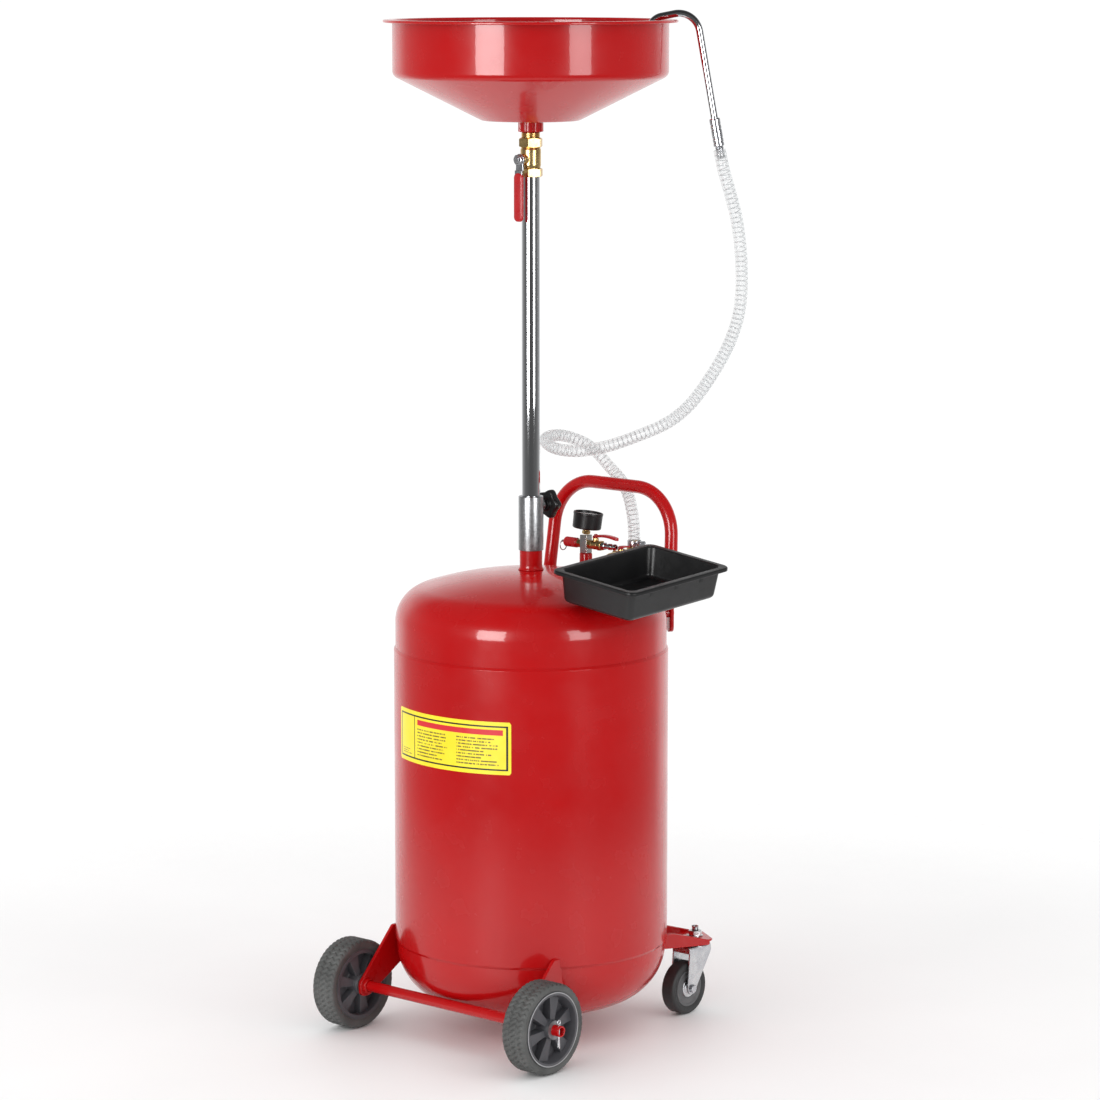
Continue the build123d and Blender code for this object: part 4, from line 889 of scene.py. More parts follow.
lever_low, lever_high, _ = extent("drain_lever")
grip_low, grip_high, grip_mid = extent("drain_lever_grip")
LEVER_PLATE = 2.5
lever_face = at((0, lever_high.y, stem_z), (0, -1, 0), (1, 0, 0))
grip_start = stem_z - grip_high.z
strip_low = stem_z - lever_low.z
bm = bmesh.new()
eye = [math.radians(angle) for angle in range(-40, 221, 10)]
outline = [(8 * math.cos(angle), 8 * math.sin(angle)) for angle in eye]
outline += [(-6.5, 3 - grip_start), (6.5, 3 - grip_start)]
prism(bm, outline, lever_face, 0, LEVER_PLATE)
strip = [(-6.5, 3.5 - grip_start), (6.5, 3.5 - grip_start), (5.0, -strip_low), (-5.0, -strip_low)]
prism(bm, strip, lever_face, 2.3, 2.3 + LEVER_PLATE)
piece("lever_plate", bm, "drain_valve", zinc, ["drain_lever"], bevel=0.5)

bm = bmesh.new()
grip_length = grip_high.z - grip_low.z
grip_width = grip_high.x - grip_low.x
grip_depth = grip_high.y - grip_low.y
grip_place = at(grip_mid, (0, -1, 0), (1, 0, 0))
loops = []
for level, inset in ((-0.5, 1.6), (-0.36, 0.5), (-0.2, 0.0), (0.2, 0.0), (0.36, 0.5), (0.5, 1.6)):
    width, length = grip_width / 2 - inset, grip_length / 2 - inset
    loop = round_box(width, length, 6.4 - inset, 8)
    loops.append([grip_place @ Vector((x, y, level * grip_depth)) for x, y in loop])
bridge(bm, loops)
piece("lever_grip_sleeve", bm, "drain_valve", vinyl, ["drain_lever_grip"], sharp=50)

nut_low, nut_high, _ = extent("drain_lever_nut")
bm = bmesh.new()
hexagon(bm, 13.0, -nut_high.y, -nut_low.y, boss, 4.0)
piece("lever_nut", bm, "drain_valve", zinc, ["drain_lever_nut"], sharp=24)
bm = bmesh.new()
rod(bm, 3.9, 12, -nut_low.y + 1.2, boss, 0, 0.6, 40)
piece("valve_stem", bm, "drain_valve", zinc)

# ---- wand and ferrule ---------------------------------------------------------------------------
WAND_RADIUS = 5.0
FERRULE_LENGTH = 36.0
wand_out = Vector((0.7513, 0.66, 0)).normalized()
crest_z = rim_top + WAND_RADIUS + 0.5


def on_wand(reach, z):
    """A point of the wand's upright plane by its reach from the mast and its height."""
    return wand_out * reach + Vector((0, 0, z))


wand_points = [
    on_wand(rim_reach - 50, rim_top - 48),
    on_wand(rim_reach - 35, crest_z - 3.5),
    on_wand(rim_reach + 23.5, crest_z + 8),
    on_wand(rim_reach + 49.7, rim_top - 135),
]
wand_leg = (wand_points[3] - wand_points[2]).normalized()
bm = bmesh.new()
pipe(bm, rounded(wand_points, [0, 20, 38, 0], False, 16), WAND_RADIUS, 32, WAND_RADIUS - 1)
piece("chrome_wand", bm, "wand", chrome, ["hose_wand"])
bm = bmesh.new()
ferrule = at(wand_points[3], wand_leg)
profile = [(5.05, -2), (6.6, -2), (7.5, -0.8)]
for groove in (7.0, 13.0, 25.0, 31.0):
    profile += [(7.5, groove - 1.0), (6.9, groove - 0.4), (6.9, groove + 0.4), (7.5, groove + 1.0)]
profile += [(7.5, FERRULE_LENGTH - 0.8), (6.7, FERRULE_LENGTH), (5.9, FERRULE_LENGTH)]
for ridge in range(4):
    base = FERRULE_LENGTH + 2.0 + ridge * 3.6
    profile += [(5.3, base), (5.9, base + 0.2), (5.3, base + 3.0)]
profile += [(5.0, FERRULE_LENGTH + 17.0), (3.5, FERRULE_LENGTH + 17.0), (3.5, 0), (5.05, 0)]
lathe(bm, profile, ferrule, 64)
piece("hose_ferrule", bm, "wand", zinc, ["wand_ferrule"])

# ---- push handle --------------------------------------------------------------------------------
HANDLE_FOOT = Vector((114, 164, 585))
HANDLE_RADIUS = 9.25
HANDLE_BEND = 66.0
TONGUE_HALF_WIDTH = 12.0
TONGUE_HALF_THICK = 3.0
TONGUE_ROUND = 9.0
BAR_HALF = 104.0
handle_low, handle_high, _ = extent("handle")
bar_z = handle_high.z - HANDLE_RADIUS
bar_y = handle_high.y - HANDLE_RADIUS
tongue_low = handle_low.z


def handle_path():
    """The bent tube's centre line, from the tip of one flattened foot to the other."""
    tip = Vector((HANDLE_FOOT.x, HANDLE_FOOT.y, tongue_low))
    corners = [tip, HANDLE_FOOT, Vector((BAR_HALF, bar_y, bar_z))]
    mirrored = [Vector((-c.x, c.y, c.z)) for c in reversed(corners)]
    line = rounded(corners + mirrored, [0, 60, HANDLE_BEND, HANDLE_BEND, 60, 0], False, 16)
    dense = []
    for start, end in zip(line, line[1:]):
        count = max(1, int((end - start).length / 2.5)) if min(start.z, end.z) < 640 else 1
        dense += [start.lerp(end, k / count) for k in range(count)]
    return dense + [line[-1]]


def handle_loops(path):
    """Cross-sections along the tube: flat and rounded at the feet, swelling to the round tube."""
    loops = []
    outward = Vector((HANDLE_FOOT.x, HANDLE_FOOT.y, 0)).normalized()
    for here, (along, _, _) in zip(path, path_frames(path)):
        facing = Vector((math.copysign(outward.x, here.x), outward.y, 0))
        thick_way = (facing - along * facing.dot(along)).normalized()
        wide_way = along.cross(thick_way)
        flatness = 1 - smooth_step(here.z, 588, 626)
        wide = HANDLE_RADIUS + (TONGUE_HALF_WIDTH - HANDLE_RADIUS) * flatness
        thick = HANDLE_RADIUS + (TONGUE_HALF_THICK - HANDLE_RADIUS) * flatness
        gap = max(0.0, TONGUE_ROUND - (here.z - tongue_low))
        wide -= TONGUE_ROUND - math.sqrt(max(0.0, TONGUE_ROUND**2 - gap**2))
        power = 2 / (2 + 3 * flatness)
        loop = []
        for k in range(40):
            angle = WHOLE * k / 40
            c, s = math.cos(angle), math.sin(angle)
            loop.append(
                here
                + wide_way * math.copysign(abs(c) ** power, c) * wide
                + thick_way * math.copysign(abs(s) ** power, s) * thick
            )
        loops.append(loop)
    return loops


bm = bmesh.new()
bridge(bm, handle_loops(handle_path()))
piece("push_handle", bm, "tank", paint, ["handle"], sharp=50)

BOLT_DROP = 9.0
bm = bmesh.new()
foot_reach = HANDLE_FOOT.xy.length
for side in (-1, 1):
    outward = Vector((side * HANDLE_FOOT.x, HANDLE_FOOT.y, 0)).normalized()
    bolt = at(outward * (foot_reach + 3) + Vector((0, 0, HANDLE_FOOT.z - BOLT_DROP)), outward)
    dome = [(0, 0), (6.5, 0), (6.5, 0.7), (4.0, 1.9), (0, 2.2)]
    lathe(bm, turned_corners(dome, [0, 0, 0.5, 2.0, 0]), bolt, 64)
piece("painted_bolt_heads", bm, "tank", paint, ["handle_bolts"])

# ---- tool tray ----------------------------------------------------------------------------------
TRAY_TILT = 7.4
TRAY_LEAN = 3.4
TRAY_CENTRE = (203.0, -5.0, 668.0)
TRAY_HALF = (72.0, 104.0)
TRAY_DEPTH = 45.0
tray_lean = Matrix.Rotation(math.radians(TRAY_LEAN), 4, "X")
tray_tilt = Matrix.Rotation(math.radians(TRAY_TILT), 4, "Y")
tray_place = Matrix.Translation(TRAY_CENTRE) @ tray_lean @ tray_tilt


def tray_loop(inset, height):
    """One rounded rectangle of the tray's skin, drawn in from its rim."""
    outline = round_box(TRAY_HALF[0] - inset, TRAY_HALF[1] - inset, 12.0 - 0.25 * min(inset, 16.0), 8)
    return [tray_place @ Vector((x, y, height)) for x, y in outline]


skin = rounded(
    [
        (40, -TRAY_DEPTH), (13, -TRAY_DEPTH), (8.2, -2.6), (2.4, -2.6), (2.2, -5.4), (0, -5.4), (0, 0),
        (10.3, 0), (15.4, 2.5 - TRAY_DEPTH), (40, 2.5 - TRAY_DEPTH),
    ],
    [0, 7, 2.5, 0.8, 0.8, 0.8, 1.8, 2.6, 6, 0], False, 6,
)
bm = bmesh.new()
bridge(bm, [tray_loop(inset, height) for inset, height, _ in skin])
piece("tool_tray", bm, "tank", black, ["tray"], sharp=40)

bm = bmesh.new()
wall_lean = (13 - 8.2) / (TRAY_DEPTH - 2.6)
for offset in (-52.0, 0.0, 52.0):
    for side in (-1, 1):
        outward = Vector((side, 0, -wall_lean)).normalized()
        notch = tray_place @ at((side * (TRAY_HALF[0] - 9.2), offset, -11.5), outward, (0, 1, 0))
        prism(bm, round_box(3.4, 3.6, 0.9, 3), notch, -0.6, 0.25)
piece("tray_notches", bm, "tank", ink, bevel=0.15)

bm = bmesh.new()
for side in (-1, 1):
    head = tray_place @ at((0, side * TRAY_HALF[1] / 2, 2.5 - TRAY_DEPTH))
    dome = [(0, 0.2), (5.4, 0.2), (5.0, 1.6), (3.2, 2.6), (2.6, 2.7), (2.4, 1.2), (0, 1.2)]
    lathe(bm, turned_corners(dome, [0, 0.3, 1.0, 0.4, 0.1, 0.1, 0], 3), head, 48)
piece("tray_screw_heads", bm, "tank", zinc)

# ---- air manifold -------------------------------------------------------------------------------
block_low, block_high, _ = extent("manifold_block")
port_low, port_high, port_mid = extent("manifold_socket")
manifold_y = port_mid.y
manifold_base = port_high.z
manifold_top = manifold_base + 26
manifold_z = manifold_base + 13
half_side = (block_high.x - block_low.x) / 2
bm = bmesh.new()
ring_outline = [(4.9, port_low.z), (9, port_low.z), (9, port_high.z), (4.9, port_high.z)]
lathe(bm, turned_corners(ring_outline, [0, 0, 1.2, 0.4]), at((0, manifold_y, 0)), 72)
piece("manifold_port", bm, "tank", paint, ["manifold_socket"])


def ring_on_top(x, y, radius, lift=0.4, count=72):
    """A ring of points that lies on the tank's top round an upright fitting."""
    places = [(x + side, y + ahead) for side, ahead, _ in circle(radius, count)]
    return [Vector((px, py, top_height(px, py) + lift)) for px, py in places]


weld("manifold_port_weld", ring_on_top(0, manifold_y, 9.6))

GAUGE_LEAN = math.radians(6.5)
gauge_up = (wand_out * math.sin(GAUGE_LEAN) + Vector((0, 0, math.cos(GAUGE_LEAN)))).normalized()
gauge = at((0, manifold_y, manifold_top), gauge_up, wand_out)
bm = bmesh.new()
hexagon(bm, 10.0, 1, 6, gauge, 2.0, 72)
rod(bm, 3.8, 5.5, 9, gauge, 0, 0.2, 40)
piece("gauge_fitting", bm, "tank", brass, ["gauge_stem"], sharp=24)
bm = bmesh.new()
case = turned_corners(
    [
        (0, 9), (19.2, 9), (20.2, 10.4), (20.6, 28.6), (21.0, 28.9), (21.0, 32.0), (18.8, 32.0),
        (18.6, 29.6), (18.4, 25.9), (0, 25.9),
    ],
    [0, 1.2, 1.0, 0.2, 0.3, 0.9, 0.8, 0.3, 0.2, 0], 6,
)
lathe(bm, case, gauge, 128)
piece("gauge_can", bm, "tank", black, ["gauge_case"])
DIAL_LEVEL = 26.0
bm = bmesh.new()
lathe(bm, [(0, DIAL_LEVEL - 0.05), (18.3, DIAL_LEVEL - 0.05), (18.3, DIAL_LEVEL), (0, DIAL_LEVEL)], gauge, 96)
rod(bm, 1.15, DIAL_LEVEL - 1, DIAL_LEVEL + 2.0, gauge, 0, 0.3, 24)
piece("dial_plate", bm, "tank", looks["gauge_white"], ["gauge_dial"])
bm = bmesh.new()
DIAL_STEPS = 20
for step in range(DIAL_STEPS + 1):
    angle = math.radians(225 - 270 * step / DIAL_STEPS)
    long_mark = step % 5 == 0
    spoke = gauge @ Matrix.Rotation(angle, 4, "Z")
    length, width = (4.2, 0.75) if long_mark else (2.4, 0.4)
    mark = [(16.8 - length, -width / 2), (16.8, -width / 2), (16.8, width / 2), (16.8 - length, width / 2)]
    prism(bm, mark, spoke, DIAL_LEVEL, DIAL_LEVEL + 0.06)
piece("dial_marks", bm, "tank", ink)
bm = bmesh.new()
tail, tip = 5.0, 13.0
pointer = [(-tip, -0.25), (-tip, 0.25), (0, 0.9), (tail, 0.7), (tail, -0.7), (0, -0.9)]
prism(bm, pointer, gauge @ Matrix.Rotation(math.radians(45), 4, "Z"), DIAL_LEVEL + 0.7, DIAL_LEVEL + 1.2)
hub = turned_corners([(1.25, 26.6), (2.4, 26.6), (2.4, 27.8), (1.25, 27.8)], [0, 0.2, 0.3, 0])
lathe(bm, hub, gauge, 40)
piece("dial_pointer", bm, "gauge_pointer", ink, ["gauge_needle"])
bm = bmesh.new()
lathe(bm, turned_corners([(0, 28.0), (18.45, 28.0), (18.45, 28.7), (0, 28.7)], [0, 0.2, 0.2, 0]), gauge, 96)
piece("gauge_window", bm, "tank", looks["clear_lens"], ["gauge_lens"])

relief = at((-half_side, manifold_y, manifold_z), (-1, 0, 0))
RELIEF_LENGTH = 31.0
bm = bmesh.new()
hexagon(bm, 11.0, 0, 7, relief, 1.7, 72)
piece("relief_hex", bm, "tank", brass, sharp=24)
bm = bmesh.new()
cap = [(1.7, 7), (6.0, 7), (6.0, 9), (7.0, 9.4), (7.0, RELIEF_LENGTH), (1.7, RELIEF_LENGTH)]


def knurled(angle, radius, height):
    """Shallow ribs round the relief cap."""
    if radius < 6.6 or not 10.5 < height < 27:
        return radius, height
    return radius - 0.35 * (0.5 - 0.5 * math.cos(24 * angle)), height


cap_outline = turned_corners(cap, [0, 0.3, 0.2, 0.8, 2.2, 0.3], 5)
dense_cap = []
for here, after in zip(cap_outline, cap_outline[1:] + cap_outline[:1]):
    dense_cap.append(here)
    if here[0] > 6.9 and after[0] > 6.9 and after[1] - here[1] > 10:
        dense_cap += [(7.0, level) for level in (10.4, 11.2, 26.2, 27.1)]
lathe(bm, dense_cap, relief, 192, knurled)
piece("relief_cap", bm, "tank", vinyl, ["relief_valve_body"])
RING_RADIUS = 7.0
bm = bmesh.new()
rod(bm, 1.6, 14, RELIEF_LENGTH + 7, relief, 0, 0.5, 28)
ring_place = at((-half_side - RELIEF_LENGTH - 4.5, manifold_y, manifold_z - RING_RADIUS + 1.4), (1, 0, 0))
pipe(bm, [ring_place @ Vector(p) for p in circle(RING_RADIUS, 64)], 0.8, 12, 0.0, True)
piece("relief_pin_and_ring", bm, "relief_pull", zinc, ["relief_pull_ring"])

air = at((half_side, manifold_y, manifold_z), (1, 0, 0))
AIR_LENGTH = 24.0
AIR_STEM_AT = 12.0
LEVER_STATIONS = 22
stem_x = half_side + AIR_STEM_AT
bm = bmesh.new()
hexagon(bm, 11.5, 0, 6, air, 2.5, 72)
barrel = [(2.5, 5.5), (6.0, 5.5), (6.5, 7.5), (6.5, 17.0), (2.5, 17.0)]
lathe(bm, turned_corners(barrel, [0, 0.5, 1.0, 0.4, 0]), air, 64)
hexagon(bm, 13.0, AIR_LENGTH - 7, AIR_LENGTH, air, 2.5, 72)
rod(bm, 4.2, 4, 10, at((stem_x, manifold_y, manifold_z)), 2.6, 0.5, 40)
piece("air_valve_brass", bm, "tank", brass, ["air_valve_body"], sharp=24)


def lever_mesh(length, back, width, thick, stem_radius, stem_low, place, arch=1.4):
    """A small dipped lever: an arched blade with rounded ends, and its stem."""
    mesh = bmesh.new()
    loops = []
    round_end = width / 2 - 0.3
    for k in range(LEVER_STATIONS + 1):
        share = k / LEVER_STATIONS
        along = -back + (length + back) * share
        gap = max(0.0, round_end - min(along + back, length - along))
        half_width = max(0.6, 0.3 + math.sqrt(max(0.0, round_end**2 - gap**2)))
        level = arch * math.sin(math.pi * share) - 0.4 * arch
        loop = round_box(half_width, thick / 2, min(0.7, half_width * 0.9), 3)
        loops.append([place @ Vector((along, y, level + thick / 2 + z)) for y, z in loop])
    bridge(mesh, loops)
    rod(mesh, stem_radius, stem_low, thick + 1.3, place, 0, 0.5, 32)
    return mesh


blade_place = at((stem_x, manifold_y, manifold_z + 10.7), (0, 0, 1), (1, 0, 0))
blade_tip = extent("air_valve_lever")[1].x
bm = lever_mesh(blade_tip - stem_x, 4.6, 8.4, 3.6, 2.45, -5.0, blade_place, 3.0)
piece("air_lever_blade", bm, "air_lever", vinyl, ["air_valve_lever"], sharp=40)

plug = at((half_side + AIR_LENGTH, manifold_y, manifold_z), (1, 0, 0))
bm = bmesh.new()
hexagon(bm, 10.0, 0, 6, plug, 2.0, 72)
nose = turned_corners(
    [
        (2.0, 5.6), (3.6, 5.6), (3.6, 11.4), (4.6, 12.6), (4.6, 17.0), (3.4, 18.4), (3.4, 20.4),
        (4.6, 21.8), (4.6, 24.6), (3.2, 26.0), (2.0, 26.0),
    ],
    [0, 0, 0.6, 0.4, 0.4, 0.6, 0.6, 0.4, 0.6, 0.3, 0], 4,
)
lathe(bm, nose, plug, 64)
piece("air_plug", bm, "tank", chrome, ["air_inlet_plug"], sharp=24)

# ---- oil outlet ---------------------------------------------------------------------------------
outlet_low, outlet_high, outlet_mid = extent("outlet_socket")
outlet_x, outlet_y = outlet_mid.x, outlet_mid.y
outlet_z = outlet_high.z + 12
hose_y, hose_z = hose_route[-1][1] / MM, hose_route[-1][2] / MM
bm = bmesh.new()
ring_outline = [(9.1, outlet_low.z), (13, outlet_low.z), (13, outlet_high.z), (9.1, outlet_high.z)]
lathe(bm, turned_corners(ring_outline, [0, 0, 1.4, 0.4]), at((outlet_x, outlet_y, 0)), 80)
piece("outlet_port", bm, "tank", paint, ["outlet_socket"])
weld("outlet_port_weld", ring_on_top(outlet_x, outlet_y, 13.6))
bm = bmesh.new()
elbow = rounded(
    [
        (outlet_x, outlet_y, outlet_high.z), (outlet_x, outlet_y, outlet_z),
        (outlet_x, hose_y, outlet_z), (outlet_x, hose_y, hose_z),
    ],
    [0, 11.5, 11.5, 0], False, 12,
)
pipe(bm, elbow, 11.0, 40, 4.5)
forward = at((outlet_x, outlet_y, outlet_z), (0, 1, 0))
for start in (14.5, 33.0):
    hexagon(bm, 24.0, start, start + 6, forward, 9.0)
barb = [(4.5, 0)]
for ridge in range(3):
    barb += [(5.9, ridge * 3.0), (5.3, ridge * 3.0 + 2.9)]
barb.append((4.5, 9.0))
lathe(bm, barb, at((outlet_x, hose_y, hose_z)), 48)
outlet_stem_y = outlet_y + 25
rod(bm, 5.0, 6, 14, at((outlet_x, outlet_stem_y, outlet_z)), 3.1, 0.5, 40)
piece("outlet_valve_brass", bm, "tank", brass, ["outlet_valve_body"], sharp=28)
blade_low, blade_high, _ = extent("outlet_valve_lever")
blade_place = at((outlet_x, outlet_stem_y, blade_high.z - 3.9), (0, 0, 1), (0, 1, 0))
bm = lever_mesh(blade_high.y - outlet_stem_y, outlet_stem_y - blade_low.y, 9.0, 2.4, 2.95, -7.0, blade_place)
piece("outlet_lever_blade", bm, "outlet_lever", vinyl, ["outlet_valve_lever"], sharp=40)
clamp_mid = extent("hose_clamp")[2]
band_inner = HOSE_DIAMETER / 2 / MM + 0.35
band = at((outlet_x, hose_y, clamp_mid.z))
bm = bmesh.new()
rod(bm, band_inner + 1.0, -4, 4, band, band_inner, 0.25, 80)
screw = at((outlet_x + band_inner + 3.0, hose_y, clamp_mid.z), (0, 1, 0))
prism(bm, round_box(3.1, 3.6, 0.8, 3), screw, -4.5, 4.5)
rod(bm, 2.2, -6.8, 6.0, screw, 0, 0.4, 32)
hexagon(bm, 6.4, 4.6, 7.0, screw)
piece("worm_clamp", bm, "tank", zinc, ["hose_clamp"], sharp=28)

# ---- rear axle and wheels -----------------------------------------------------------------------
axle_low, axle_high, axle_mid = extent("axle")
axle_radius = (axle_high.z - axle_low.z) / 2
axle_line = at((0, axle_mid.y, axle_mid.z), (1, 0, 0))
bm = bmesh.new()
rod(bm, axle_radius, axle_low.x, axle_high.x, axle_line, axle_radius - 2, 0.5, 72)
piece("axle_tube", bm, "tank", paint, ["axle"])

BRACKET_X = 150.0
BRACKET_THICK = 5.0
BRACKET_WRAP = 14.0
bracket_top = extent("rear_brackets")[1].z
wall_y = -math.sqrt(tank_radius**2 - BRACKET_X**2)
bm = bmesh.new()
for side in (-1, 1):
    plate = at((side * BRACKET_X, 0, 0), (1, 0, 0), (0, 1, 0))
    y, z = axle_mid.y, axle_mid.z
    outline = rounded(
        [
            (wall_y + 14, bracket_top), (wall_y - 8, bracket_top), (y - BRACKET_WRAP, z + 6),
            (y - BRACKET_WRAP, z - BRACKET_WRAP), (y + 4, z - BRACKET_WRAP), (wall_y + 14, z + 26),
        ],
        [0, 6, 12, 13, 12, 0], True, 7,
    )
    prism(bm, flat(outline), plate, -BRACKET_THICK / 2, BRACKET_THICK / 2)
    rod(bm, axle_radius + 3.0, -7, 7, at((side * BRACKET_X, y, z), (1, 0, 0)), axle_radius + 0.05, 0.8)
piece("axle_brackets", bm, "tank", paint, ["rear_brackets"], bevel=0.9)

pins_low, pins_high, _ = extent("cotter_pins")
bm = bmesh.new()
for side in (-1, 1):
    pin_x = side * (axle_high.x - 5)
    foot, top = pins_low.z - 11.0, pins_high.z - 4.0
    legs = [
        (0, -1.6, foot + 2.0), (0, -0.85, foot + 9), (0, -0.85, top - 5), (0, -3.2, top - 1),
        (0, 0, top + 3.2), (0, 3.2, top - 1), (0, 0.85, top - 5), (0, 0.85, foot + 9), (0, 1.3, foot),
    ]
    line = [Vector((pin_x + x, y + axle_mid.y, z)) for x, y, z in legs]
    pipe(bm, rounded(line, [0, 6, 3, 2.4, 2.6, 2.4, 3, 6, 0], False, 6), 0.9, 12)
piece("split_pins", bm, "tank", zinc, ["cotter_pins"])

TYRE_SEAT = 49.5
TYRE_SHOULDER = 5.0
TREAD_COUNT = 48
TREAD_DEPTH = 1.5
SPOKES = 6
tyre_low, tyre_high, _ = extent("tyre_right")
tyre_radius = (tyre_high.z - tyre_low.z) / 2
tyre_half = (tyre_high.x - tyre_low.x) / 2


def tread(angle, radius, height):
    """Press the zigzag cross grooves and the two ring grooves into the tread."""
    if radius < tyre_radius - TYRE_SHOULDER:
        return radius, height
    reach = abs(height) / tyre_half
    zigzag = 0.24 * math.sin(WHOLE * height / 12.0)
    phase = (angle / WHOLE * TREAD_COUNT + zigzag) % 1.0
    groove = smooth_step(abs(phase - 0.5), 0.28, 0.40)
    groove *= 1 - smooth_step(reach, 0.90, 0.99)
    ring = max(0.0, 1 - abs(abs(height) - 5.2) / 0.9)
    return radius - TREAD_DEPTH * max(groove, 0.75 * ring), height


tread_levels = [-tyre_half + TYRE_SHOULDER + k * (tyre_half - TYRE_SHOULDER) / 16 for k in range(33)]
shoulder = []
for k in range(9):
    angle = math.pi / 2 * k / 8
    shoulder.append((
        tyre_radius - TYRE_SHOULDER + TYRE_SHOULDER * math.sin(angle),
        tyre_half - TYRE_SHOULDER + TYRE_SHOULDER * math.cos(angle),
    ))
side_wall = [(TYRE_SEAT, tyre_half - 1.6), (TYRE_SEAT + 2.2, tyre_half - 1.0), (TYRE_SEAT + 3.2, tyre_half)]
half_outline = side_wall + shoulder
tyre_outline = [(r, -h) for r, h in half_outline]
tyre_outline += [(tyre_radius, level) for level in tread_levels[1:-1]]
tyre_outline += half_outline[::-1]

HUB_RADIUS = 14.0
RIM_LIP = 51.4
# a spoke's sections from the hub to the rim: distance out, half width and half height
SPOKE_SECTIONS = ((HUB_RADIUS - 2.5, 4.2, 15.5), (27, 6.4, 13.4), (44.6, 9.8, 11.5))
for side, name in ((-1, "left"), (1, "right")):
    middle = extent(f"tyre_{name}")[2]
    wheel = at(middle, (side, 0, 0), (0, 1, 0))
    bm = bmesh.new()
    lathe(bm, tyre_outline, wheel, TREAD_COUNT * 10, tread)
    piece(f"treaded_tyre_{name}", bm, f"wheel_{name}", looks["tyre_grey"], [f"tyre_{name}"], sharp=48)
    bm = bmesh.new()
    rim = turned_corners(
        [
            (43.6, -18.0), (TYRE_SEAT - 0.1, -18.0), (TYRE_SEAT - 0.1, 17.2), (RIM_LIP, 18.0),
            (RIM_LIP, 19.2), (46.4, 19.2), (44.6, 12.0), (42.6, 3.0), (42.6, -3.0),
        ],
        [0.6, 0.6, 0.2, 0.3, 0.7, 1.2, 2.0, 2.0, 2.0], 4,
    )
    lathe(bm, rim, wheel, 144)
    hub_low, hub_high, _ = extent(f"wheel_core_{name}")
    hub_half = (hub_high.x - hub_low.x) / 2
    web = turned_corners(
        [
            (axle_radius + 0.1, -hub_half), (HUB_RADIUS, -hub_half), (HUB_RADIUS + 1.5, -2.6), (43.0, -2.6),
            (43.0, 2.0), (HUB_RADIUS + 1.5, 0.5), (HUB_RADIUS - 1.0, hub_half), (axle_radius + 0.1, hub_half),
        ],
        [0.4, 1.2, 3.0, 0, 0, 3.0, 1.6, 0.6], 5,
    )
    lathe(bm, web, wheel, 96)
    piece(f"wheel_rim_{name}", bm, f"wheel_{name}", grey, [f"wheel_core_{name}"], sharp=40)
    # A thin light grey ring on each rim's lip: painted highlight, the bright line that light draws along its
    # edge.
    bm = bmesh.new()
    lathe(bm, turned_corners([(49.4, 17.6), (50.9, 17.6), (50.9, 19.5), (49.4, 19.5)], 0.5, 4), wheel, 144)
    piece(f"rim_lip_painted_highlight_{name}", bm, f"wheel_{name}", looks["lip_painted_highlight"])
    bm = bmesh.new()
    for k in range(SPOKES):
        spoke = wheel @ Matrix.Rotation(WHOLE * (k + 0.25) / SPOKES, 4, "Z")
        for face in (-1, 1):
            loops = []
            for reach, half_width, level in SPOKE_SECTIONS:
                base = half_width + 0.9
                corners = [(-base, 0.4), (base, 0.4), (half_width, level), (-half_width, level)]
                loops.append([spoke @ Vector((reach, y, face * z)) for y, z in corners])
            bridge(bm, loops)
    piece(f"wheel_spokes_{name}", bm, f"wheel_{name}", grey, bevel=0.7)

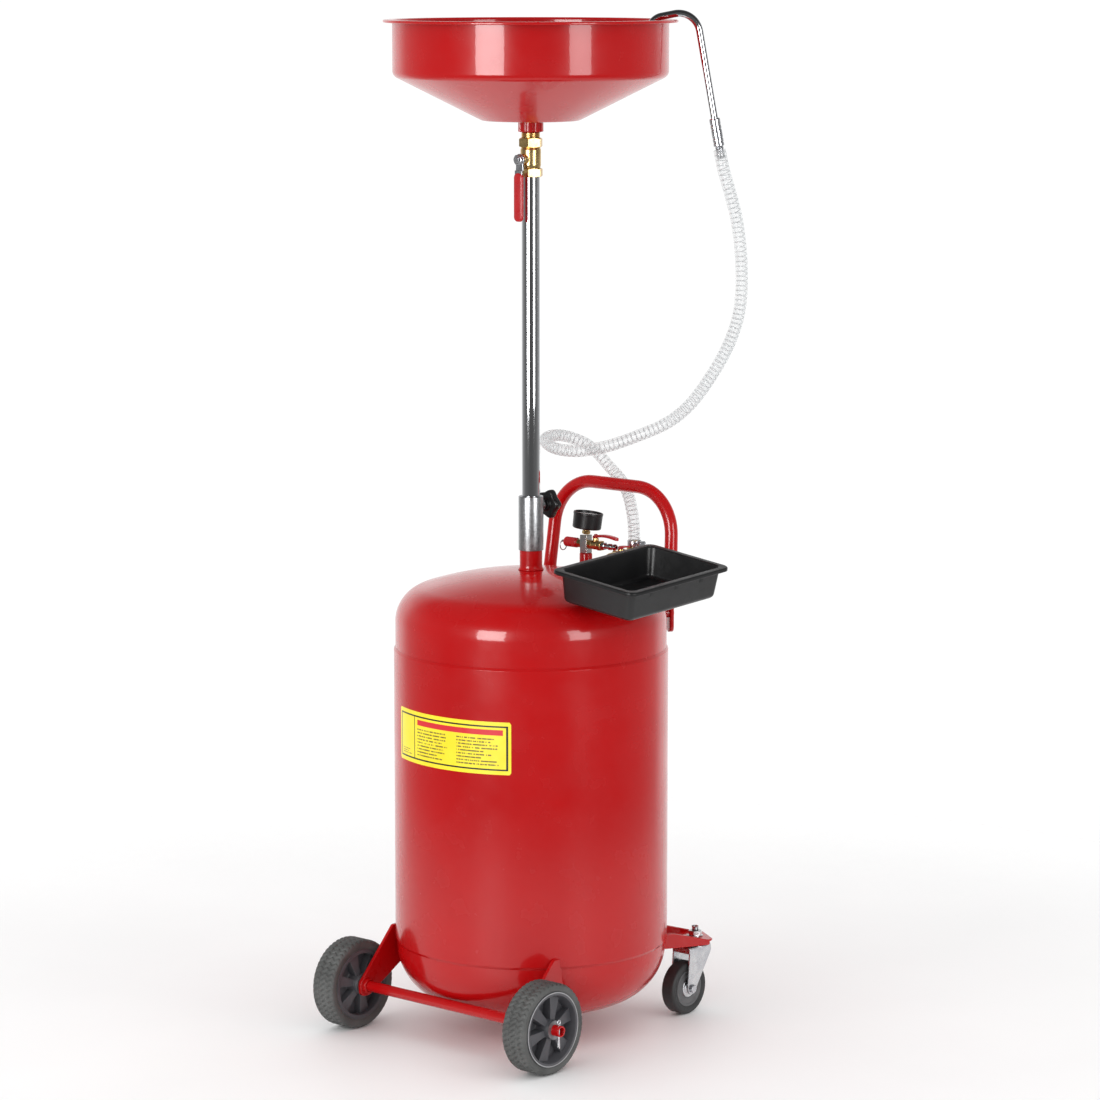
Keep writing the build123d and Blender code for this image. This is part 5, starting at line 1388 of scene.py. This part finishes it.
# ---- casters ------------------------------------------------------------------------------------
CASTER = Vector((128.0, 206.0, 0))
CHANNEL_HALF = 33.0
CHANNEL_SHEET = 3.0
CHANNEL_TIP = 19.0
CHANNEL_WALL = 13.0
FORK_GAP = 13.5
FORK_SHEET = 2.5
CASTER_HALF = 11.0
plate_z = extent("caster_nuts")[0].z
stem_length = extent("caster_stems")[1].z - plate_z
root = tank_radius - 22 - CASTER.length
tip, half, sheet = CHANNEL_TIP, CHANNEL_HALF, CHANNEL_SHEET
cheek_out = FORK_GAP + FORK_SHEET
nut_mesh, washer_mesh, stem_mesh = bmesh.new(), bmesh.new(), bmesh.new()
for side, name in ((-1, "left"), (1, "right")):
    spot = Vector((side * CASTER.x, CASTER.y, 0))
    outward = spot.normalized()
    upright = at(spot + Vector((0, 0, plate_z)), (0, 0, 1), outward)
    rod(washer_mesh, 11.0, 0, 1.5, upright, 5.1, 0.3)
    hexagon(nut_mesh, 17.0, 1.5, 8.5, upright, 5.0)
    stem = [(0, 9.0)]
    for k in range(5):
        stem += [(4.4, 9.0 + k * 1.2), (5.0, 9.6 + k * 1.2)]
    stem += [(4.4, stem_length - 0.4), (3.6, stem_length), (0, stem_length)]
    lathe(stem_mesh, stem, upright, 48)

    # the pressed channel that carries the caster, its walls falling away towards the tip
    bm = bmesh.new()
    plate = rounded(
        [
            (root, -half), (tip - 6, -half + 6), (tip, -half + 12), (tip, half - 12), (tip - 6, half - 6),
            (root, half),
        ],
        [0, 6, 6, 6, 6, 0], True, 6,
    )
    prism(bm, flat(plate), upright, -sheet, 0)
    for edge in (-1, 1):
        start = Vector((root, edge * (half - sheet / 2), 0))
        end = Vector((tip - 6, edge * (half - 6 - sheet / 2), 0))
        along = (end - start).normalized()
        span = (end - start).length
        wall_place = upright @ at(start, along.cross(Vector((0, 0, 1))), along)
        profile = rounded(
            [
                (0, -sheet - 5), (span, -sheet - 5), (span, -1.0), (span - 14, 3.0), (32, CHANNEL_WALL),
                (0, CHANNEL_WALL),
            ],
            [0, 3, 3, 20, 20, 0], True, 8,
        )
        prism(bm, flat(profile), wall_place, -sheet / 2, sheet / 2)
    piece(f"caster_channel_{name}", bm, "tank", paint, [f"caster_bracket_{name}"], bevel=0.9)

    # the swivelling fork
    roll_low, roll_high, wheel_mid = extent(f"caster_wheel_{name}")
    fork_top = extent(f"caster_fork_{name}")[1].z
    crown_place = at(spot + Vector((0, 0, fork_top)))
    bm = bmesh.new()
    crown = turned_corners(
        [(5.1, -FORK_SHEET), (20.6, -FORK_SHEET), (20.6, 0), (17.0, 0), (15.5, -0.9), (5.1, -0.9)],
        [0, 0.6, 0.8, 0.6, 0.6, 0], 4,
    )
    lathe(bm, crown, crown_place, 96)
    yoke = rounded([(-cheek_out, -31), (cheek_out, -31), (cheek_out, 17), (-cheek_out, 17)], 3.0, True, 5)
    prism(bm, flat(yoke), crown_place, -FORK_SHEET, -0.4)
    front_lip = at((spot.x, spot.y - 31 + FORK_SHEET / 2, fork_top - 5), (0, 1, 0), (1, 0, 0))
    prism(bm, round_box(cheek_out - 0.3, 4.0, 1.5, 4), front_lip, -FORK_SHEET / 2, FORK_SHEET / 2)
    axle_y, axle_z = wheel_mid.y, wheel_mid.z
    outline = rounded(
        [
            (spot.y - 30, fork_top - 1), (spot.y + 16, fork_top - 1), (spot.y + 17, fork_top - 10),
            (axle_y + 9.5, axle_z), (axle_y + 6, axle_z - 8), (axle_y - 6, axle_z - 8),
            (axle_y - 9.5, axle_z), (spot.y - 31, fork_top - 16),
        ],
        [2, 3, 8, 6, 6, 6, 6, 14], True, 7,
    )
    for cheek in (-1, 1):
        side_place = at((spot.x + cheek * (FORK_GAP + FORK_SHEET / 2), 0, 0), (1, 0, 0), (0, 1, 0))
        prism(bm, flat(outline), side_place, -FORK_SHEET / 2, FORK_SHEET / 2)
    piece(f"fork_pressing_{name}", bm, f"caster_{name}", zinc, [f"caster_fork_{name}"], bevel=0.5)
    bm = bmesh.new()
    race = turned_corners([(5.2, 0.6), (20.6, 0.6), (19.6, 6.6), (5.2, 6.6)], [0, 1.8, 2.4, 0], 6)
    lathe(bm, race, crown_place, 96)
    piece(f"swivel_race_{name}", bm, "tank", zinc)
    bm = bmesh.new()
    pivot = at(wheel_mid, (1, 0, 0))
    for cheek in (-1, 1):
        end_place = at(wheel_mid + Vector((cheek * cheek_out, 0, 0)), (cheek, 0, 0))
        hexagon(bm, 10.0, 0.0, 3.6, end_place, 0, 72)
    rod(bm, 2.9, -cheek_out - 0.2, cheek_out + 0.2, pivot, 0, 0.2, 32)
    piece(f"caster_axle_{name}", bm, f"caster_{name}", zinc, sharp=24)

    # the wheel: dark tread, grey side rings and a pressed hub cap
    roll_radius = (roll_high.z - roll_low.z) / 2
    bm = bmesh.new()
    tread_ring = turned_corners(
        [
            (26.0, -CASTER_HALF + 1.4), (31, -CASTER_HALF), (roll_radius, -CASTER_HALF + 0.4),
            (roll_radius, CASTER_HALF - 0.4), (31, CASTER_HALF), (26.0, CASTER_HALF - 1.4),
        ],
        [0.4, 1.0, 5.0, 5.0, 1.0, 0.4], 7,
    )
    lathe(bm, tread_ring, pivot, 120)
    piece(f"caster_tread_{name}", bm, f"caster_roll_{name}", looks["caster_rubber"], [f"caster_wheel_{name}"])
    bm = bmesh.new()
    disc = turned_corners(
        [
            (13.4, -8.6), (15, -9.4), (22, -8.6), (24.0, -10.2), (26.3, -10.2),
            (26.3, 10.2), (24.0, 10.2), (22, 8.6), (15, 9.4), (13.4, 8.6),
        ],
        [0.4, 0.6, 1.2, 0.8, 0.4, 0.4, 0.8, 1.2, 0.6, 0.4], 4,
    )
    lathe(bm, disc, pivot, 120)
    piece(f"caster_disc_{name}", bm, f"caster_roll_{name}", looks["grey_rubber"])
    bm = bmesh.new()
    cap = turned_corners(
        [
            (3.1, -12.4), (7.5, -12.4), (9.5, -10.6), (13.3, -9.8), (13.3, 9.8), (9.5, 10.6), (7.5, 12.4),
            (3.1, 12.4),
        ],
        [0.3, 1.5, 2.0, 0.8, 0.8, 2.0, 1.5, 0.3], 4,
    )
    lathe(bm, cap, pivot, 96)
    piece(f"caster_hub_cap_{name}", bm, f"caster_roll_{name}", zinc)
piece("caster_top_nuts", nut_mesh, "tank", zinc, ["caster_nuts"], sharp=24)
piece("caster_washers", washer_mesh, "tank", zinc)
piece("caster_stem_threads", stem_mesh, "tank", zinc, ["caster_stems"])

# ---- floor and light ----------------------------------------------------------------------------
FLOOR_RADIUS = 1.9
FLOOR_SOLID = 0.75
FLOOR_DROP = 0.0004
AIR_STRENGTH = 1.04
AIM_HEIGHT = 0.75
# what mirrors see of the air, from behind the camera to beyond the tank: place and level
MIRRORED_LEVELS = ((0.0, 0.09), (0.35, 0.15), (0.62, 0.30), (0.80, 0.50), (0.88, 1.0))
bm = bmesh.new()
bmesh.ops.create_circle(bm, cap_ends=True, segments=128, radius=FLOOR_RADIUS)
floor_mesh = bpy.data.meshes.new("studio_floor")
bm.to_mesh(floor_mesh)
bm.free()
floor = bpy.data.objects.new("studio_floor", floor_mesh)
floor.location = (0, 0, -FLOOR_DROP)
bpy.context.scene.collection.objects.link(floor)
floor_look = finish(
    "floor_pale", (0.92, 0.92, 0.92), (0.94, 0.94, 0.94), (0.55, 0.65), 0.0, 2.0, (120, 0.02, 0.0004)
)
floor_tree = floor_look.node_tree
where = add_node(floor_tree, "TexCoord").outputs["Object"]
reach = add_node(floor_tree, "VectorMath", {0: where}, operation="LENGTH").outputs["Value"]
fade = add_node(floor_tree, "MapRange", {"Value": reach}, interpolation_type="SMOOTHSTEP")
fade_ends = {"From Min": FLOOR_SOLID, "From Max": FLOOR_RADIUS - 0.05, "To Min": 1, "To Max": 0}
for socket, value in fade_ends.items():
    fade.inputs[socket].default_value = value
floor_tree.links.new(fade.outputs["Result"], floor_tree.nodes["Principled BSDF"].inputs["Alpha"])
floor_mesh.materials.append(floor_look)

world = bpy.data.worlds.new("studio_air")
bpy.context.scene.world = world
world.use_nodes = True
air = world.node_tree
background = air.nodes["Background"]
direction = add_node(air, "TexCoord").outputs["Generated"]
depth = add_node(air, "VectorMath", {0: direction}, operation="DOT_PRODUCT")
depth.inputs[1].default_value = tuple(away)
share = between(air, depth.outputs["Value"], 0.0, 1.0, -1.0, 1.0)
mirror = add_node(air, "ValToRGB", {"Fac": share})
for index, (place, level) in enumerate(MIRRORED_LEVELS):
    stops = mirror.color_ramp.elements
    stop = stops[index] if index < 2 else stops.new(place)
    stop.position, stop.color = place, (level, level, level, 1)
height = add_node(air, "SeparateXYZ", {"Vector": direction}).outputs["Z"]
overhead = between(air, height, 1.0, 0.25, 0.25, 0.60)
dimmed = add_node(air, "VectorMath", {0: mirror.outputs["Color"], 1: overhead}, operation="MULTIPLY")
paths = add_node(air, "LightPath")
plain = add_node(air, "Mix", data_type="RGBA")
air.links.new(paths.outputs["Is Glossy Ray"], plain.inputs[0])
plain.inputs[6].default_value = (1.0, 1.0, 1.0, 1)
air.links.new(dimmed.outputs["Vector"], plain.inputs[7])
air.links.new(plain.outputs[2], background.inputs["Color"])
background.inputs["Strength"].default_value = AIR_STRENGTH


def softbox(name, azimuth, reach, height, width, tall, radiance, mirrored):
    """A tall soft light that faces the tank, placed by its angle from the camera's own direction."""
    data = bpy.data.lights.new(name, "AREA")
    data.shape = "RECTANGLE"
    data.size, data.size_y = width, tall
    data.energy = radiance * math.pi * width * tall
    lamp = bpy.data.objects.new(name, data)
    spin = Matrix.Rotation(math.radians(azimuth), 3, "Z")
    lamp.location = (spin @ -away) * reach + Vector((0, 0, height))
    aim = Vector((0, 0, AIM_HEIGHT)) - lamp.location
    lamp.rotation_mode = "QUATERNION"
    lamp.rotation_quaternion = aim.to_track_quat("-Z", "Y")
    lamp.visible_glossy, lamp.visible_diffuse = mirrored, not mirrored
    bpy.context.scene.collection.objects.link(lamp)


softbox("window_left", -33, 4.2, 1.35, 1.8, 2.0, 14.0, True)
softbox("window_right", 41, 4.2, 1.35, 1.4, 2.0, 8.0, True)
softbox("fill_left", -50, 4.0, 1.6, 2.0, 2.2, 3.0, False)
softbox("fill_right", 60, 4.0, 1.6, 1.4, 2.2, 2.0, False)

bpy.context.scene.view_settings.view_transform = "Standard"
